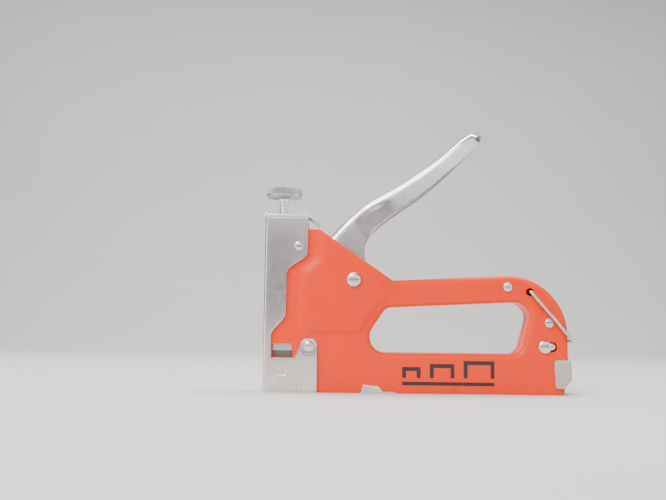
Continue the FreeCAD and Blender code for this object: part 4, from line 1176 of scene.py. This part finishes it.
def adjusting_knob():
    rim = knob_radius - knurl_depth
    crown, rise = knob_top - 0.5, 2.3
    dome = [(rim * math.sin(t), crown - rise + rise * math.cos(t)) for t in np.linspace(1.25, 0.12, 10)]
    profile = [(0, knob_z + 2.6), (3.5, knob_z + 2.6), (7.4, knob_z + 2.4), (8.0, knob_z + 0.25)]
    profile += [(8.2, knob_z), (rim - 0.3, knob_z), (rim, knob_z + 0.35)]
    profile += [(rim, crown - rise), (rim - 0.12, crown - 1.95)] + dome[1:] + [(0, crown)]
    knob = lathe("knob_body", profile, 0.0, zinc, 96)
    knob.data.transform(Matrix.Translation((-outlet_x, 0, 0)))
    knurl_low, knurl_high = knob_z + 0.2, crown - 2.15
    middle = (knurl_low + knurl_high) / 2
    knob.data.transform(Matrix.Translation((0, 0, -middle * MM)))
    make_knurl_tree().run(
        knob, zinc, Count=66, Rim_Radius=(rim + 0.02) * MM, Ridge_Width=0.5 * MM,
        Ridge_Height=(knurl_high - knurl_low) * MM,
    )
    knob.data.transform(Matrix.Translation((outlet_x + screw_x * MM, 0, middle * MM)))
    shade(knob.data, 30)
    return hand_over(knob, "adjuster", "knob_zinc", "adjusting_knob")


adjusting_knob()


# %% Screw
def adjusting_screw():
    pitch, outer, depth = 0.8, 2.5, 0.38
    low_z = drawing(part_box("adjusting_screw")[0])[2]
    collar_z = knob_z - 1.6
    segments = 40
    levels = np.arange(low_z, collar_z + 0.1, pitch / 8)
    turn = np.linspace(0, 2 * math.pi, segments, endpoint=False)
    points, faces = [], []
    for z in levels:
        phase = (z / pitch - turn / (2 * math.pi)) % 1.0
        cut = np.clip(np.abs(2 * phase - 1) * 1.5 - 0.2, 0, 1)
        radius = np.minimum(outer, outer - depth * (1 - cut)) - 0.6 * max(0, 1 - (z - low_z) / 0.6)
        points += [(screw_x + r * math.cos(t), r * math.sin(t), z) for r, t in zip(radius, turn)]
    for k in range(len(levels) - 1):
        for i in range(segments):
            j = (i + 1) % segments
            a, b = k * segments, (k + 1) * segments
            faces.append((a + i, a + j, b + j, b + i))
    faces.append(tuple(range(segments))[::-1])
    last = (len(levels) - 1) * segments
    faces.append(tuple(range(last, last + segments)))
    thread = outward(mesh_piece("screw_thread", points, faces, plate_nickel))
    shade(thread.data, 50)
    collar = [(0, collar_z), (2.7, collar_z), (3.0, collar_z + 0.25), (3.1, collar_z + 0.6)]
    collar += [(3.1, knob_z - 0.3), (3.0, knob_z), (1.8, knob_z), (1.8, knob_z + 3.5), (0, knob_z + 3.5)]
    neck = lathe("screw_collar", collar, screw_x, plate_nickel, 48)
    shade(neck.data, 35)
    hand_over(neck, "adjuster", "bright_nickel")
    return hand_over(thread, "adjuster", "bright_nickel", "adjusting_screw")


adjusting_screw()

# %% [markdown]
# ## Wire lock
# The lock is one bent wire: it hooks into the casing on both sides and runs round the back of
# the grip. A polyline gives its corners, the node tree rounds them to the bend radius, and a
# circle is swept along it. The slight kink in each arm comes from hand bending.


# %% Wire lock
def make_wire_tree():
    """Tree that bends a polyline and sweeps a round wire along it."""
    tree = Tree("bent_wire", {"Wire Radius": 0.00085, "Bend Radius": 0.0015})
    line = tree.add("GeometryNodeMeshToCurve", {"Mesh": tree.given["Geometry"]})
    bent = tree.add(
        "GeometryNodeFilletCurve",
        {"Curve": line.outputs[0], "Radius": tree.given["Bend Radius"], "Count": 8},
        mode="POLY",
    )
    ring = tree.add(
        "GeometryNodeCurvePrimitiveCircle", {"Resolution": 16, "Radius": tree.given["Wire Radius"]}
    )
    swept = tree.add(
        "GeometryNodeCurveToMesh",
        {"Curve": bent.outputs[0], "Profile Curve": ring.outputs["Curve"], "Fill Caps": True},
    )
    tree.end(swept.outputs[0])
    return tree


def lock_wire():
    wire_radius = 0.85
    low, high = (drawing(c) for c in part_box("lock_wire"))
    bar_x, arm_y, bar_z = high[0] - wire_radius, high[1] - wire_radius, low[2] + wire_radius
    side = [
        (lock_x, 5.9, lock_z), (lock_x, arm_y, lock_z), (138.2, arm_y, 39.6), (139.4, arm_y, 38.6),
        (bar_x, arm_y, bar_z),
    ]
    points = side + [(x, -y, z) for x, y, z in side[::-1]]
    edges = [(i, i + 1) for i in range(len(points) - 1)]
    wire = mesh_piece("lock_wire_bent", points, [], wire_steel, edges)
    make_wire_tree().run(wire, wire_steel, Wire_Radius=wire_radius * MM, Bend_Radius=1.5 * MM)
    outward(wire)
    return hand_over(wire, "lever_lock", "wire_steel", "lock_wire")


lock_wire()

# %% [markdown]
# ## Printed mark
# A hand tool like this carries a black print low on its side. A plain picture sign stands here:
# three staples of rising size over a bar, which says what the gun takes. It is a thin film of
# ink, a few hundredths of a millimetre proud of the enamel.


# %% Printed mark
ink_film = 0.03
stroke = 1.9
mark_left, mark_right = 66.5, 111.5
staples_low = 7.6
staple_signs = ((mark_left, 9.0, 5.2), (80.0, 12.0, 6.8), (96.5, 15.0, 8.4))    # left, width, height


def print_mark():
    points, faces = [], []

    def patch(corners, radius, side):
        line = rounded_outline([(u, v, radius) for u, v in corners], 0.5)
        first = len(points)
        points.extend([(u, side * (casing_y + ink_film), v) for u, v in line])
        ring = tuple(range(first, first + len(line)))
        faces.append(ring if side < 0 else ring[::-1])

    for side in (1, -1):
        for left, width, height in staple_signs:
            right, low, top = left + width, staples_low, staples_low + height
            leg_left, leg_right, crown = left + stroke, right - stroke, top - stroke
            patch(
                [
                    (left, low), (leg_left, low), (leg_left, crown), (leg_right, crown),
                    (leg_right, low), (right, low), (right, top), (left, top),
                ],
                0.28,
                side,
            )
        patch([(mark_left, 4.0), (mark_right, 4.0), (mark_right, 5.7), (mark_left, 5.7)], 0.5, side)
    mark = mesh_piece("printed_mark", points, faces, ink)
    return hand_over(mark, "frame", "casing_enamel")


print_mark()

# %% [markdown]
# ## Finishes on the engineering pieces
# The pieces that keep their engineering shape sit inside the gun or barely show. They still get
# the same real finishes, by putting a new material in the slots that they already have.

# %% Carried-over pieces
plain_steel_nodes = [
    "driver_blade", "lifting_bracket", "spring_seat", "screw_nut", "roller_pin", "lifting_roller",
    "pivot_washers", "guide_rod", "spacers",
]
spring_nodes = ["main_spring", "return_spring", "pusher_spring", "catch_spring"]
carried = dict.fromkeys(plain_steel_nodes, steel)
carried.update(dict.fromkeys(spring_nodes, spring_steel))
carried.update(dict.fromkeys(["striker_rivets", "cap_rivet"], rivet_nickel))
for name, material in carried.items():
    for slot in nodes[name].material_slots:
        slot.material = material
print("carried over:", len(carried))

# %% [markdown]
# ## Floor, light and camera
# The gun stands on a plain pale sweep: a floor that curves up into a wall, as in a
# display studio. The key light comes from the upper left. A wide panel in front is there for the bright
# metal to mirror, and a card at the left draws the bent edge of the nose. A weak light fills from
# the right, and a long strip above draws a bright line along the folded edges.


# %% Floor
def studio_finish():
    """Pale matt paper, slightly uneven."""
    material, tree, shader = new_material("pale_paper")
    tone = colour_mix(tree, (0.60, 0.59, 0.575), (0.56, 0.55, 0.535), object_noise(tree, 9.0, 3.0))
    tree.links.new(tone, shader.inputs["Base Color"])
    shader.inputs["Roughness"].default_value = 0.85
    return material


def studio_sweep():
    """Floor that curves up into a wall behind the gun."""
    front, back, curve, wall_top, half_width = -1.6, 0.45, 0.35, 2.4, 2.2
    profile = [(front, 0.0), (back, 0.0)]
    for t in np.linspace(0.1, math.pi / 2, 16):
        profile.append((back + curve * math.sin(t), curve - curve * math.cos(t)))
    profile.append((back + curve, wall_top))
    points = [(x, y, z) for y, z in profile for x in (-half_width, half_width)]
    faces = [(2 * i, 2 * i + 1, 2 * i + 3, 2 * i + 2) for i in range(len(profile) - 1)]
    mesh = bpy.data.meshes.new("studio_sweep")
    mesh.from_pydata(points, [], faces)
    mesh.materials.append(studio_finish())
    shade(mesh, 60)
    sweep = add_object("studio_sweep", mesh)


studio_sweep()


# %% Light and camera
def soft_light(name, size, power, position, aim=(0, 0, 0.06), colour=(1, 1, 1)):
    """Rectangular light that faces its aim."""
    light = bpy.data.lights.new(name, "AREA")
    light.shape = "RECTANGLE"
    light.size, light.size_y = size
    light.energy = power
    light.color = colour
    lamp = add_object(name, light)
    lamp.location = position
    lamp.rotation_euler = (Vector(aim) - Vector(position)).to_track_quat("-Z", "Y").to_euler()


soft_light("key_light", (0.7, 0.5), 15.0, (-0.5, -0.6, 0.85), colour=(1.0, 0.985, 0.965))
soft_light("side_card", (0.3, 0.7), 2.2, (-0.85, -0.3, 0.25))
soft_light("front_panel", (2.4, 1.0), 11.5, (-0.1, -1.3, 0.78), (-0.1, 0.0, 0.4))
soft_light("fill_light", (0.5, 0.6), 1.6, (0.8, -0.5, 0.3), colour=(0.95, 0.97, 1.0))
soft_light("top_strip", (0.9, 0.22), 11.0, (0.0, 0.1, 0.7))

world = bpy.data.worlds.new("studio_air")
world.use_nodes = True
world.node_tree.nodes["Background"].inputs["Color"].default_value = (0.82, 0.80, 0.80, 1)
world.node_tree.nodes["Background"].inputs["Strength"].default_value = 0.22
bpy.context.scene.world = world

eye = (-0.04116, -0.3657, 0.03416)      # low beside the gun, nearer its nose
camera_data = bpy.data.cameras.new("camera")
camera_data.sensor_width = 36.0
camera_data.lens = 39.24
camera_data.clip_start = 0.01
camera = add_object("camera", camera_data)
tilt = Matrix.Rotation(math.radians(90 + 5.67), 4, "X")
roll = Matrix.Rotation(math.radians(0.68), 4, "Z")
camera.matrix_world = Matrix.Translation(eye) @ tilt @ roll
bpy.context.scene.camera = camera
